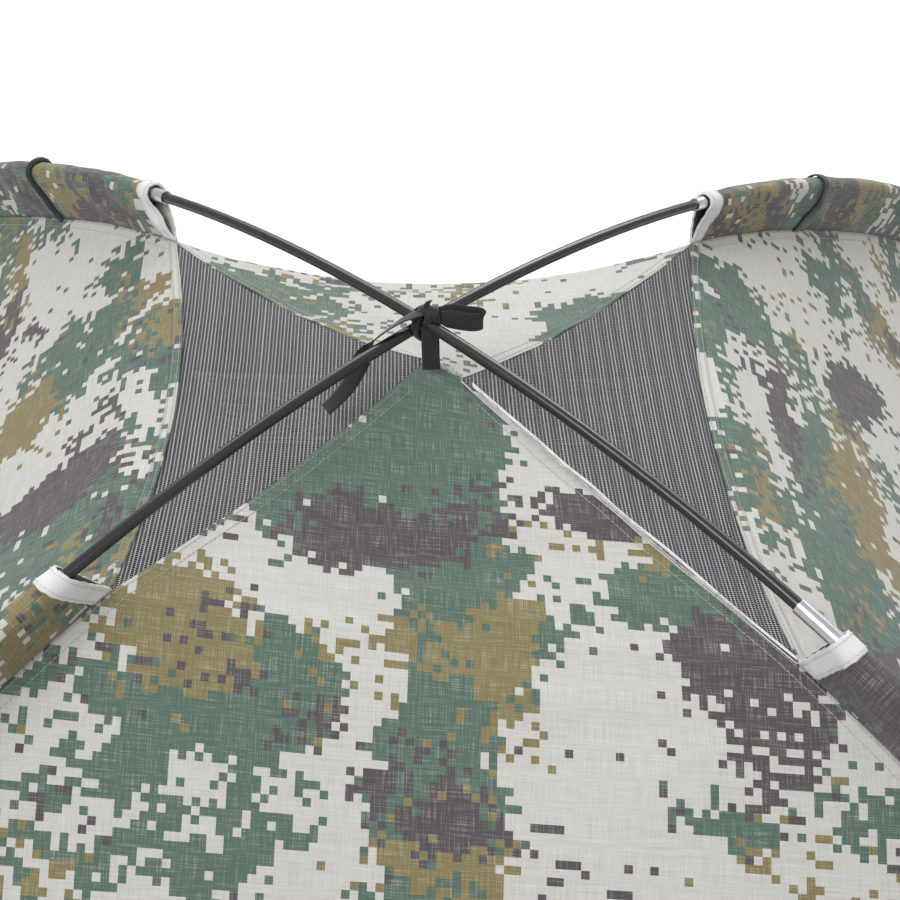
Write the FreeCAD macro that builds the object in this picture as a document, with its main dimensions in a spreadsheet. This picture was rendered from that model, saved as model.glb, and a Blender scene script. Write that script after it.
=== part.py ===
import FreeCAD, Part
import math
import os

import Sketcher

from FreeCAD import Placement, Rotation, Vector

# A two-pole dome blind with a square floor.  Two bent rods cross over the crown, each from corner to corner.
# Cloth sleeves carry them down the four hips, and the cloth hangs a little way inside the rods.
# +X is the blind's right as seen from in front, the door faces -Y, and +Z is up.
# The origin is the middle of the floor, on the ground.

doc = FreeCAD.newDocument("dome_blind")

# ---------------------------------------------------------------- driving dimensions

DIMENSIONS = (
    # bent poles
    ("rod_pitch", 585),
    ("crown_radius", 1100),
    ("shoulder_radius", 1230),
    ("wall_radius", 1850),
    ("foot_radius", 5000),
    ("pole_drop", 1299.9),
    ("foot_height", 14),
    ("rod_radius", 3.5),
    ("rod_bore_radius", 1.6),
    ("cord_radius", 1.2),
    ("pole_spacing", 7.2),
    ("joint_shift_a", 17),
    ("joint_shift_b", 9),
    ("joint_gap", 0.6),
    ("ferrule_radius", 4.6),
    ("ferrule_bore_radius", 3.65),
    ("ferrule_length", 64),
    ("cap_length", 34),
    ("cap_wall", 6),
    ("nose_radius", 2.2),
    ("nose_length", 12),
    # cloth
    ("cloth", 0.8),
    ("cloth_depth", 40),
    ("apex_rise", 5),
    ("half_strip", 1100),
    ("far", 1300),
    ("sky", 1500),
    ("crown_reach", 270),
    ("panel_gap", 1),
    ("tub_height", 110),
    ("tub_gap", 2),
    ("tub_cloth", 1),
    # sleeves
    ("sleeve_top", 5.4),
    ("sleeve_seam_depth", 36),
    ("sleeve_seam_width", 1.2),
    ("sleeve_end", 1955),
    ("band_width", 14),
    ("band_cloth", 0.7),
    ("loop_width", 8),
    ("loop_cord", 2),
    # door and zip
    ("door_half_width", 350),
    ("door_sill", 132),
    ("door_spring", 590),
    ("door_margin", 6.5),
    ("hinge_gap", 2.6),
    ("zip_half_gap", 0.6),
    ("zip_half_width", 6),
    ("zip_thickness", 1.4),
    ("zip_stop", 48),
    ("slider_length", 22),
    ("slider_width", 11),
    ("slider_plate", 1.5),
    ("slider_clearance", 0.35),
    ("bail_rise", 3.2),
    ("bail_radius", 0.8),
    ("bail_length", 6),
    ("post_width", 1.2),
    ("post_length", 3),
    ("pull_eye_radius", 2.5),
    ("pull_eye_bore", 1.15),
    ("pull_neck_width", 3.6),
    ("pull_neck_length", 10),
    ("pull_length", 34),
    ("pull_width", 8),
    ("pull_thickness", 1.4),
    # window
    ("window_half_width", 250),
    ("window_low", 560),
    ("window_high", 790),
    ("flap_margin", 24),
    ("flap_depth", 37.2),
    ("grip_width", 18),
    ("grip_cloth", 0.6),
    # corners
    ("tab_width", 25),
    ("tab_height", 1.6),
    ("tab_cloth", 1.6),
    ("tab_start", 1381),
    ("pole_eyelet_place", 1419.5),
    ("peg_eyelet_place", 1456),
    ("eyelet_bore", 5.5),
    ("eyelet_barrel", 6.3),
    ("eyelet_flange", 9.5),
    ("eyelet_hole", 6.7),
    ("eyelet_lip", 0.7),
    # crown tie
    ("ribbon", 10),
    ("ribbon_cloth", 0.8),
    ("bow_length", 32),
    ("bow_height", 6),
    ("tail_length", 26),
    ("knot_width", 14),
    ("knot_depth", 12),
    ("knot_height", 8),
    # white tape beside the crown seam
    ("seam_tape_near", 2),
    ("seam_tape_far", 11),
    ("seam_tape_cloth", 0.5),
)

sheet = doc.addObject("Spreadsheet::Sheet", "Sheet")
for row, (alias, number) in enumerate(DIMENSIONS, start=1):
    sheet.set("A%d" % row, alias)
    sheet.set("B%d" % row, str(number))
    sheet.setAlias("B%d" % row, alias)
doc.recompute()


def size(alias):
    """One driving dimension as a plain number."""
    return float(sheet.get(alias))


kept = []


def keep(item, label):
    """Give a finished sub-part the name of its file."""
    item.Label = label
    kept.append(item)
    return item


def shape_feature(label, shape):
    """A sub-part whose shape is worked out below from the sheet."""
    item = doc.addObject("Part::Feature", label)
    item.Shape = shape
    return keep(item, label)


# ---------------------------------------------------------------- the line that a pole follows

CROWN_HEIGHT = size("foot_height") + size("pole_drop")
POLE_END = 3.5 * size("rod_pitch")
ROOT_HALF = math.sqrt(0.5)

# Lengths are measured along a pole from the crown, and are negative towards its left-hand foot.
# The two foot arcs run on a little, because the upper pole is a few millimetres longer than the lower one.
ARC_LIMITS = [(place - 3.5) * size("rod_pitch") for place in range(8)]
ARC_LIMITS[0] -= size("rod_pitch")
ARC_LIMITS[-1] += size("rod_pitch")
ARC_RADII = ("foot_radius", "wall_radius", "shoulder_radius", "crown_radius",
             "shoulder_radius", "wall_radius", "foot_radius")
ARCS = list(zip(ARC_LIMITS, ARC_LIMITS[1:], ARC_RADII))

# Pole A lies on top of pole B at the crown. "shift" is how far a pole's joints sit from even places.
HALF_SPACING = size("pole_spacing") / 2
POLES = {
    "a": {"way": Vector(ROOT_HALF, -ROOT_HALF, 0), "rise": HALF_SPACING, "shift": size("joint_shift_a")},
    "b": {"way": Vector(ROOT_HALF, ROOT_HALF, 0), "rise": -HALF_SPACING, "shift": size("joint_shift_b")},
}

# Each corner: its pole, its side of the crown, and the length at which the pole enters the sleeve.
CORNERS = {
    "back_left": {"pole": "a", "side": -1, "mouth": 250, "turn": 135},
    "front_right": {"pole": "a", "side": 1, "mouth": 305, "turn": -45},
    "front_left": {"pole": "b", "side": -1, "mouth": 252, "turn": -135},
    "back_right": {"pole": "b", "side": 1, "mouth": 280, "turn": 45},
}


def pole_line(length):
    """Reach from the middle, height from the crown and slope of the pole at a length along it."""
    reach, height, slope = 0.0, 0.0, 0.0
    left = abs(length)
    for start, end, alias in ARCS[3:]:
        radius = size(alias)
        stretch = min(left, end - max(start, 0.0))
        turn = stretch / radius
        reach += radius * (math.sin(slope + turn) - math.sin(slope))
        height -= radius * (math.cos(slope) - math.cos(slope + turn))
        slope += turn
        left -= stretch
    side = math.copysign(1.0, length)
    return side * reach, height, side * slope


def pole_end(pole):
    """The length from the crown to a pole's foot: both poles stand at the same height."""
    return POLE_END + POLES[pole]["rise"] / math.sin(pole_line(POLE_END)[2])


def pole_frame(pole, length):
    """Placement on the pole's line: X points out of the bend, Y along the pole, Z across it."""
    reach, height, slope = pole_line(length)
    way = POLES[pole]["way"]
    up = Vector(0, 0, 1)
    outward = way * math.sin(slope) + up * math.cos(slope)
    forward = way * math.cos(slope) - up * math.sin(slope)
    base = way * reach + up * (CROWN_HEIGHT + POLES[pole]["rise"] + height)
    return Placement(base, Rotation(outward, forward, outward.cross(forward), "XYZ"))


def arc_spans(start, end):
    """The stretches of constant radius between two lengths along a pole."""
    for arc_low, arc_high, alias in ARCS:
        low = max(start, arc_low)
        high = min(end, arc_high)
        if high - low > 0.01:
            yield low, high, alias


def bent_bar(name, pole, start, end, radius_alias):
    """A round bar that follows a pole between two lengths, as one torus sector for each radius."""
    sectors = []
    for low, high, arc_alias in arc_spans(start, end):
        sector = doc.addObject("Part::Torus", name + "_sector")
        sector.setExpression("Radius1", "Sheet.%s" % arc_alias)
        sector.setExpression("Radius2", "Sheet.%s" % radius_alias)
        sector.setExpression("Angle3", "%.6f / Sheet.%s * 180 / pi" % (high - low, arc_alias))
        frame = pole_frame(pole, low)
        centre = frame.multVec(Vector(-size(arc_alias), 0, 0))
        sector.Placement = Placement(centre, frame.Rotation)
        sectors.append(sector)
    if len(sectors) == 1:
        return sectors[0]
    bar = doc.addObject("Part::MultiFuse", name + "_sectors")
    bar.Shapes = sectors
    return bar


def bent_tube(name, pole, start, end, radius_alias, bore_alias):
    """A round tube that follows a pole between two lengths."""
    tube = doc.addObject("Part::Cut", name + "_tube")
    tube.Base = bent_bar(name + "_outside", pole, start, end, radius_alias)
    tube.Tool = bent_bar(name + "_inside", pole, start, end, bore_alias)
    return tube


def joint_lengths(pole):
    """Where the seven rods of a pole meet."""
    return [(place - 2.5) * size("rod_pitch") + POLES[pole]["shift"] for place in range(6)]


def pole_rods(pole):
    """Seven hollow rods, end to end."""
    half_gap = size("joint_gap") / 2
    last = pole_end(pole) - size("cap_wall")
    ends = [-last] + joint_lengths(pole) + [last]
    for place in range(7):
        label = "pole_%s_rod_%d" % (pole, place + 1)
        start = ends[place] + half_gap
        end = ends[place + 1] - half_gap
        keep(bent_tube(label, pole, start, end, "rod_radius", "rod_bore_radius"), label)


def pole_ferrules(pole):
    """A metal tube round each joint of the pole."""
    half = size("ferrule_length") / 2
    tubes = []
    for place, length in enumerate(joint_lengths(pole)):
        name = "ferrule_%s_%d" % (pole, place + 1)
        start = length - half
        end = length + half
        tubes.append(bent_tube(name, pole, start, end, "ferrule_radius", "ferrule_bore_radius"))
    group = doc.addObject("Part::Compound", "ferrules_" + pole)
    group.Links = tubes
    keep(group, "pole_%s_ferrules" % pole)


def pole_end_caps(pole):
    """A metal cap on each end of the pole, with a short nose that stands in the corner's eyelet."""
    caps = []
    for side in (-1, 1):
        name = "cap_%s_%s" % (pole, "end" if side > 0 else "start")
        tip = pole_end(pole)
        inner = tip - size("cap_length")
        closed = tip - size("cap_wall")
        outside = bent_bar(name + "_outside", pole, *sorted((side * inner, side * tip)), "ferrule_radius")
        hollow = sorted((side * inner, side * closed))
        inside = bent_bar(name + "_inside", pole, *hollow, "ferrule_bore_radius")
        nose = doc.addObject("Part::Cylinder", name + "_nose")
        nose.setExpression("Radius", "Sheet.nose_radius")
        nose.setExpression("Height", "Sheet.nose_length + 1")
        frame = pole_frame(pole, side * tip)
        start = frame.multVec(Vector(0, -side, 0))
        forward = frame.Rotation.multVec(Vector(0, side, 0))
        nose.Placement = Placement(start, Rotation(Vector(0, 0, 1), forward))
        shell = doc.addObject("Part::Cut", name + "_shell")
        shell.Base = outside
        shell.Tool = inside
        cap = doc.addObject("Part::Fuse", name)
        cap.Base = shell
        cap.Tool = nose
        caps.append(cap)
    group = doc.addObject("Part::Compound", "caps_" + pole)
    group.Links = caps
    keep(group, "pole_%s_end_caps" % pole)


def pole_shock_cord(pole):
    """The elastic cord that runs inside all seven rods and holds them together."""
    end = pole_end(pole) - size("cap_wall") - 1
    label = "pole_%s_shock_cord" % pole
    keep(bent_bar(label, pole, -end, end, "cord_radius"), label)


# ---------------------------------------------------------------- sleeves

def teardrop_face(frame, grow):
    """A teardrop round the pole: an arc over the top, closing to a narrow seam below."""
    top = size("sleeve_top") + grow
    depth = size("sleeve_seam_depth") - size("cloth") + grow
    width = size("sleeve_seam_width") + grow
    points = (
        Vector(-depth, 0, width),
        Vector(0, 0, top),
        Vector(top, 0, 0),
        Vector(0, 0, -top),
        Vector(-depth, 0, -width),
    )
    low, side, crest, other_side, other_low = [frame.multVec(point) for point in points]
    edges = [
        Part.LineSegment(low, side).toShape(),
        Part.Arc(side, crest, other_side).toShape(),
        Part.LineSegment(other_side, other_low).toShape(),
        Part.LineSegment(other_low, low).toShape(),
    ]
    return Part.Face(Part.Wire(edges))


def teardrop_bar(corner, start, end, grow):
    """A solid teardrop that follows a corner's pole between two lengths from the crown."""
    pole = CORNERS[corner]["pole"]
    side = CORNERS[corner]["side"]
    pieces = []
    for low, high, arc_alias in arc_spans(*sorted((side * start, side * end))):
        frame = pole_frame(pole, low)
        centre = frame.multVec(Vector(-size(arc_alias), 0, 0))
        axis = frame.Rotation.multVec(Vector(0, 0, 1))
        turn = math.degrees((high - low) / size(arc_alias))
        pieces.append(teardrop_face(frame, grow).revolve(centre, axis, turn))
    if len(pieces) == 1:
        return pieces[0]
    return pieces[0].multiFuse(pieces[1:])


def teardrop_shell(corner, start, end, inset, cloth):
    """A teardrop tube of cloth round a corner's pole."""
    return teardrop_bar(corner, start, end, inset + cloth).cut(teardrop_bar(corner, start, end, inset))


# How far inside its mouth each sleeve wears its elastic loop.
LOOP_PLACES = {"back_left": 163, "back_right": 156, "front_left": 160, "front_right": 160}


def sleeves():
    """Four pole sleeves, one down each hip, each with a white hem at its mouth and an elastic loop."""
    cloth = size("cloth")
    bands = []
    loops = []
    for corner, facts in CORNERS.items():
        mouth = facts["mouth"]
        shape_feature("sleeve_" + corner, teardrop_shell(corner, mouth, size("sleeve_end"), 0, cloth))
        hem_end = mouth + size("band_width")
        bands.append(teardrop_shell(corner, mouth, hem_end, cloth + 0.1, size("band_cloth")))
        loop_start = mouth + LOOP_PLACES[corner]
        loop_end = loop_start + size("loop_width")
        loops.append(teardrop_shell(corner, loop_start, loop_end, cloth + 0.3, size("loop_cord")))
    shape_feature("sleeve_mouth_hems", Part.makeCompound(bands))
    shape_feature("elastic_loops", Part.makeCompound(loops))


# ---------------------------------------------------------------- cloth panels

CROWN_REACH = size("crown_reach")
SHOULDER_END = 1.5 * size("rod_pitch")
WALL_ARC_END = 2.5 * size("rod_pitch")
WALL_FLOOR = size("tub_height") + size("tub_gap")
HALF_STRIP = size("half_strip")
FAR = size("far")
SKY = size("sky")


def cloth_point(length, depth):
    """A point of a wall's outline, at a length down the pole and a depth inside the pole's line."""
    reach, height, slope = pole_line(length)
    if length == 0:
        depth -= size("apex_rise")
    out = reach - depth * math.sin(slope)
    rise = CROWN_HEIGHT + height - depth * math.cos(slope)
    return Vector(0, -out * ROOT_HALF, rise)


def cloth_edges(depth, top, bottom):
    """The wall's outline between two lengths: straight over the crown, then an arc for each rod."""
    joints = (CROWN_REACH, SHOULDER_END, WALL_ARC_END)
    stations = [top] + [length for length in joints if top < length < bottom] + [bottom]
    edges = []
    for start, end in zip(stations, stations[1:]):
        first = cloth_point(start, depth)
        last = cloth_point(end, depth)
        if start == 0:
            edges.append(Part.LineSegment(first, last).toShape())
        else:
            edges.append(Part.Arc(first, cloth_point((start + end) / 2, depth), last).toShape())
    return edges


def cloth_strip(depth, thickness, top, bottom, half_width):
    """A strip of cloth that faces -Y, level from side to side, between two lengths down from the crown."""
    outer = cloth_edges(depth, top, bottom)
    inner = cloth_edges(depth + thickness, top, bottom)
    low = Part.LineSegment(cloth_point(bottom, depth), cloth_point(bottom, depth + thickness)).toShape()
    high = Part.LineSegment(cloth_point(top, depth + thickness), cloth_point(top, depth)).toShape()
    outline = Part.Wire(Part.__sortEdges__(outer + [low] + inner + [high]))
    face = Part.Face(outline)
    face.translate(Vector(-half_width, 0, 0))
    return face.extrude(Vector(2 * half_width, 0, 0))


def quarter(gap, floor):
    """The quarter of space in front of the middle, a little short of both diagonals, above a height."""
    tip = gap / ROOT_HALF
    near = Vector(0, -tip, floor)
    right = Vector(FAR, -tip - FAR, floor)
    left = Vector(-FAR, -tip - FAR, floor)
    return Part.Face(Part.makePolygon((near, right, left, near))).extrude(Vector(0, 0, SKY))


def turned(shape, turns):
    """The same shape, turned about the middle by a number of quarter turns."""
    copy = shape.copy()
    copy.rotate(Vector(0, 0, 0), Vector(0, 0, 1), 90 * turns)
    return copy


def arch(margin, floor):
    """The space in front of a doorway: straight legs and a half-round head, grown by a margin."""
    half = size("door_half_width") + margin
    spring = size("door_spring")
    left_foot = Vector(-half, 0, floor)
    left_spring = Vector(-half, 0, spring)
    right_spring = Vector(half, 0, spring)
    right_foot = Vector(half, 0, floor)
    head = Part.Arc(left_spring, Vector(0, 0, spring + half), right_spring).toShape()
    sides = [
        Part.LineSegment(left_foot, left_spring).toShape(),
        head,
        Part.LineSegment(right_spring, right_foot).toShape(),
        Part.LineSegment(right_foot, left_foot).toShape(),
    ]
    return Part.Face(Part.Wire(sides)).extrude(Vector(0, -FAR, 0))


def window_block(margin):
    """The space behind the back window, grown by a margin."""
    half = size("window_half_width") + margin
    low = size("window_low") - margin
    high = size("window_high") + margin
    return Part.makeBox(2 * half, FAR, high - low, Vector(-half, -FAR, low))


def walls():
    """Four walls: front and back run up to the apex, left and right stop at the roof mesh."""
    gap = size("panel_gap")
    whole = cloth_strip(size("cloth_depth"), size("cloth"), 0, POLE_END, HALF_STRIP)
    below_crown = cloth_strip(size("cloth_depth"), size("cloth"), CROWN_REACH + 1, POLE_END, HALF_STRIP)
    space = quarter(gap, WALL_FLOOR)
    doorway = arch(size("door_margin"), size("door_sill") - size("hinge_gap"))
    tall = whole.common(space)
    short = below_crown.common(space)
    shape_feature("wall_front", tall.cut(doorway))
    shape_feature("wall_back", turned(tall.cut(window_block(0)), 2))
    shape_feature("wall_right", turned(short, 1))
    shape_feature("wall_left", turned(short, 3))
    crown = cloth_strip(size("cloth_depth"), size("cloth"), 0, CROWN_REACH - 1, HALF_STRIP).common(space)
    shape_feature("roof_mesh_right", turned(crown, 1))
    shape_feature("roof_mesh_left", turned(crown, 3))


def seam_tape():
    """A narrow white tape beside the seam between the front wall and the right-hand roof mesh."""
    tape_depth = size("cloth_depth") - size("seam_tape_cloth") - 0.1
    tape = cloth_strip(tape_depth, size("seam_tape_cloth"), 0, CROWN_REACH - 1, HALF_STRIP)
    outer = quarter(size("seam_tape_near"), WALL_FLOOR)
    inner = quarter(size("seam_tape_far"), WALL_FLOOR)
    right_half = Part.makeBox(FAR, FAR, SKY, Vector(6, -FAR, 0))
    shape_feature("crown_seam_tape", tape.common(outer).cut(inner).common(right_half))


def groundsheet():
    """A waterproof floor with low sloping sides, like a shallow tub."""
    floor_half = wall_out(0)
    rim_half = wall_out(size("tub_height"))
    cloth = size("tub_cloth")
    outside = tub_block("tub_outside", floor_half, rim_half, 0, size("tub_height"))
    inside = tub_block("tub_inside", floor_half - cloth, rim_half - cloth, cloth, size("tub_height") + 1)
    tub = doc.addObject("Part::Cut", "tub")
    tub.Base = outside
    tub.Tool = inside
    keep(tub, "groundsheet")


def wall_out(height):
    """How far the outside of a wall is from the middle at a height near the ground."""
    reach, drop, slope = pole_line(POLE_END)
    radius = size("foot_radius")
    centre_out = reach - radius * math.sin(slope)
    centre_up = CROWN_HEIGHT + drop - radius * math.cos(slope)
    cloth_radius = radius - size("cloth_depth")
    return ROOT_HALF * (centre_out + math.sqrt(cloth_radius ** 2 - (height - centre_up) ** 2))


def tub_block(name, floor_half, rim_half, floor, rim):
    """A square block that narrows upwards, from its floor to its rim."""
    block = doc.addObject("Part::Wedge", name)
    block.Xmin = -floor_half
    block.Xmax = floor_half
    block.Zmin = -floor_half
    block.Zmax = floor_half
    block.X2min = -rim_half
    block.X2max = rim_half
    block.Z2min = -rim_half
    block.Z2max = rim_half
    block.Ymin = floor
    block.Ymax = rim
    block.Placement = Placement(Vector(0, 0, 0), Rotation(Vector(1, 0, 0), 90))
    return block


# ---------------------------------------------------------------- door, zip and window

def door():
    """The door panel, hinged on the cloth along its straight sill, and the two halves of its zip."""
    margin = size("door_margin")
    sill = size("door_sill")
    cloth = cloth_strip(size("cloth_depth"), size("cloth"), CROWN_REACH, POLE_END, HALF_STRIP)
    shape_feature("door_panel", cloth.common(arch(-margin, sill)))

    zip_depth = size("cloth_depth") - (size("zip_thickness") - size("cloth")) / 2
    chain = cloth_strip(zip_depth, size("zip_thickness"), CROWN_REACH, POLE_END, HALF_STRIP)
    half_gap = size("zip_half_gap")
    half_width = size("zip_half_width")
    wall_side = chain.common(arch(half_width, sill)).cut(arch(half_gap, 0))
    door_side = chain.common(arch(-half_gap, sill)).cut(arch(-half_width, 0))
    shape_feature("zip_chain_wall", wall_side)
    shape_feature("zip_chain_door", door_side)


def zip_frame(height):
    """Placement on the right-hand zip's middle line: X across it, Y up along it, Z out of the wall."""
    first = cloth_point(WALL_ARC_END, size("cloth_depth"))
    middle = cloth_point((WALL_ARC_END + POLE_END) / 2, size("cloth_depth"))
    last = cloth_point(POLE_END, size("cloth_depth"))
    centre = Part.Arc(first, middle, last).toShape().Curve.Center
    radius = first.distanceToPoint(centre) - size("cloth") / 2
    lean = math.asin((height - centre.z) / radius)
    outward = Vector(0, -math.cos(lean), math.sin(lean))
    upward = Vector(0, math.sin(lean), math.cos(lean))
    base = Vector(size("door_half_width"), 0, 0) + Vector(0, centre.y, centre.z) + outward * radius
    return Placement(base, Rotation(Vector(1, 0, 0), upward, outward, "XYZ"))


def block(name, wide, long, tall, corner, frame):
    """A box whose sizes are expressions on the sheet, set in a frame."""
    box = doc.addObject("Part::Box", name)
    box.setExpression("Length", wide)
    box.setExpression("Width", long)
    box.setExpression("Height", tall)
    box.Placement = frame.multiply(Placement(corner, Rotation()))
    return box


def zip_slider():
    """The slider: a plate outside the zip, a lip inside its door half, a web, and a bail for the pull."""
    frame = zip_frame(size("door_sill") + size("zip_stop"))
    wide = size("slider_width")
    length = size("slider_length")
    plate = size("slider_plate")
    lift = size("zip_thickness") / 2 + size("slider_clearance")
    rise = size("bail_rise")
    outer = block("slider_plate_outer", "Sheet.slider_width", "Sheet.slider_length",
                  "Sheet.slider_plate", Vector(-wide / 2, -length / 2, lift), frame)
    lip = block("slider_lip", "Sheet.slider_width / 2", "Sheet.slider_length",
                "Sheet.slider_plate", Vector(-wide / 2, -length / 2, -lift - plate), frame)
    web = block("slider_web", "Sheet.zip_half_gap", "Sheet.slider_length * 0.6",
                "2 * Sheet.slider_plate + 1", Vector(-size("zip_half_gap") / 2, -length * 0.3, -lift - 0.5),
                frame)
    parts = [outer, lip, web]
    bail = size("bail_length")
    post_width = size("post_width")
    for side in (-1, 1):
        post_corner = Vector((side * bail - post_width) / 2, -size("post_length") / 2, lift + plate - 0.5)
        post = block("bail_post", "Sheet.post_width", "Sheet.post_length", "Sheet.bail_rise + 1",
                     post_corner, frame)
        parts.append(post)
    bar = doc.addObject("Part::Cylinder", "bail_bar")
    bar.setExpression("Radius", "Sheet.bail_radius")
    bar.setExpression("Height", "Sheet.bail_length")
    sideways = Rotation(Vector(0, 1, 0), 90)
    bar.Placement = frame.multiply(Placement(Vector(-bail / 2, 0, lift + plate + rise), sideways))
    parts.append(bar)
    whole = doc.addObject("Part::MultiFuse", "slider")
    whole.Shapes = parts
    keep(whole, "zip_slider")


def zip_pull():
    """The pull tab, whose eye goes round the slider's bail."""
    frame = zip_frame(size("door_sill") + size("zip_stop"))
    lift = size("zip_thickness") / 2 + size("slider_clearance") + size("slider_plate") + size("bail_rise")
    turned_down = frame.multiply(Placement(Vector(0, 0, lift), Rotation()))
    eye = doc.addObject("Part::Cylinder", "pull_eye")
    eye.setExpression("Radius", "Sheet.pull_eye_radius")
    eye.setExpression("Height", "Sheet.pull_neck_width")
    sideways = Rotation(Vector(0, 1, 0), 90)
    neck_width = size("pull_neck_width")
    eye.Placement = turned_down.multiply(Placement(Vector(-neck_width / 2, 0, 0), sideways))
    bore = doc.addObject("Part::Cylinder", "pull_bore")
    bore.setExpression("Radius", "Sheet.pull_eye_bore")
    bore.setExpression("Height", "Sheet.pull_neck_width + 2")
    bore.Placement = turned_down.multiply(Placement(Vector(-neck_width / 2 - 1, 0, 0), sideways))
    low = -size("pull_thickness") / 2
    neck = block("pull_neck", "Sheet.pull_neck_width", "Sheet.pull_neck_length", "Sheet.pull_thickness",
                 Vector(-neck_width / 2, -size("pull_neck_length") - 1, low), turned_down)
    tongue = block("pull_tongue", "Sheet.pull_width", "Sheet.pull_length - Sheet.pull_neck_length",
                   "Sheet.pull_thickness", Vector(-size("pull_width") / 2, -size("pull_length"), low),
                   turned_down)
    whole = doc.addObject("Part::MultiFuse", "pull_whole")
    whole.Shapes = [eye, neck, tongue]
    pull = doc.addObject("Part::Cut", "pull")
    pull.Base = whole
    pull.Tool = bore
    keep(pull, "zip_pull")


def back_window():
    """The mesh of the back window, its rain flap outside, and the grip strips that hold the flap shut."""
    cloth = size("cloth")
    net = cloth_strip(size("cloth_depth") + 0.15, 0.5, CROWN_REACH, POLE_END, HALF_STRIP)
    shape_feature("window_mesh", turned(net.common(window_block(-1)), 2))
    outer = cloth_strip(size("flap_depth"), cloth, CROWN_REACH, POLE_END, HALF_STRIP)
    shape_feature("window_flap", turned(outer.common(window_block(size("flap_margin"))), 2))

    grip_half = size("window_half_width") - size("grip_width")
    grip_low = size("window_high") + 3
    rail = Part.makeBox(2 * grip_half, FAR, size("grip_width"), Vector(-grip_half, -FAR, grip_low))
    grip_cloth = size("grip_cloth")
    flap_side = cloth_strip(size("flap_depth") + cloth, grip_cloth, CROWN_REACH, POLE_END, HALF_STRIP)
    wall_side = cloth_strip(size("cloth_depth") - grip_cloth, grip_cloth, CROWN_REACH, POLE_END, HALF_STRIP)
    shape_feature("flap_grip_strip", turned(flap_side.common(rail), 2))
    shape_feature("wall_grip_strip", turned(wall_side.common(rail), 2))


# ---------------------------------------------------------------- corners

def tab_sketch(body):
    """The outline of a corner strap, with its rounded end and its two holes, driven from the sheet."""
    outline = body.newObject("Sketcher::SketchObject", "outline")
    flat = [plane for plane in body.Origin.OriginFeatures if plane.Role == "XY_Plane"][0]
    outline.AttachmentSupport = [(flat, "")]
    outline.MapMode = "FlatFace"
    half = size("tab_width") / 2
    start = size("tab_start")
    end = size("peg_eyelet_place") + 5
    corners = (Vector(start, -half, 0), Vector(end, -half, 0), Vector(end, half, 0), Vector(start, half, 0))
    outline.addGeometry(Part.LineSegment(corners[0], corners[1]))
    outline.addGeometry(Part.Arc(corners[1], Vector(end + half, 0, 0), corners[2]))
    outline.addGeometry(Part.LineSegment(corners[2], corners[3]))
    outline.addGeometry(Part.LineSegment(corners[3], corners[0]))
    for alias in ("pole_eyelet_place", "peg_eyelet_place"):
        hole = Part.Circle(Vector(size(alias), 0, 0), Vector(0, 0, 1), size("eyelet_hole"))
        place = outline.addGeometry(hole)
        radius = outline.addConstraint(Sketcher.Constraint("Radius", place, size("eyelet_hole")))
        outline.setExpression("Constraints[%d]" % radius, "Sheet.eyelet_hole")
        reach = outline.addConstraint(Sketcher.Constraint("DistanceX", place, 3, size(alias)))
        outline.setExpression("Constraints[%d]" % reach, "Sheet.%s" % alias)
    return outline


def corner_tab(corner):
    """A webbing strap that carries the corner's two eyelets."""
    label = "corner_tab_" + corner
    body = doc.addObject("PartDesign::Body", label)
    outline = tab_sketch(body)
    pad = body.newObject("PartDesign::Pad", "strap")
    pad.Profile = outline
    pad.setExpression("Length", "Sheet.tab_cloth")
    turn = Rotation(Vector(0, 0, 1), CORNERS[corner]["turn"])
    body.Placement = Placement(Vector(0, 0, size("tab_height")), turn)
    keep(body, label)


def eyelet(name, corner, place):
    """A rolled metal eyelet: a barrel through the strap, with a lip above and below."""
    body = doc.addObject("PartDesign::Body", name)
    section = body.newObject("Sketcher::SketchObject", "section")
    upright = [plane for plane in body.Origin.OriginFeatures if plane.Role == "XZ_Plane"][0]
    section.AttachmentSupport = [(upright, "")]
    section.MapMode = "FlatFace"
    bore = size("eyelet_bore")
    barrel = size("eyelet_barrel")
    flange = size("eyelet_flange")
    lip = size("eyelet_lip")
    low = -0.1 - lip
    high = size("tab_cloth") + 0.1 + lip
    outline = (
        (bore, low), (flange, low), (flange, low + lip), (barrel, low + lip),
        (barrel, high - lip), (flange, high - lip), (flange, high), (bore, high),
    )
    for first, last in zip(outline, outline[1:] + outline[:1]):
        section.addGeometry(Part.LineSegment(Vector(first[0], first[1], 0), Vector(last[0], last[1], 0)))
    spin = body.newObject("PartDesign::Revolution", "roll")
    spin.Profile = section
    spin.ReferenceAxis = (section, ["V_Axis"])
    spin.Angle = 360
    turn = Rotation(Vector(0, 0, 1), CORNERS[corner]["turn"])
    base = turn.multVec(Vector(size(place), 0, 0)) + Vector(0, 0, size("tab_height"))
    body.Placement = Placement(base, turn)
    return body


def corners():
    """Each corner's strap and eyelets: the pole stands in the inner one, and a peg goes in the outer one."""
    inner = []
    for corner in CORNERS:
        corner_tab(corner)
        inner.append(eyelet("pole_eyelet_" + corner, corner, "pole_eyelet_place"))
        label = "peg_eyelet_" + corner
        keep(eyelet(label, corner, "peg_eyelet_place"), label)
    group = doc.addObject("Part::Compound", "pole_eyelets_group")
    group.Links = inner
    keep(group, "pole_eyelets")


# ---------------------------------------------------------------- crown tie

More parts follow.
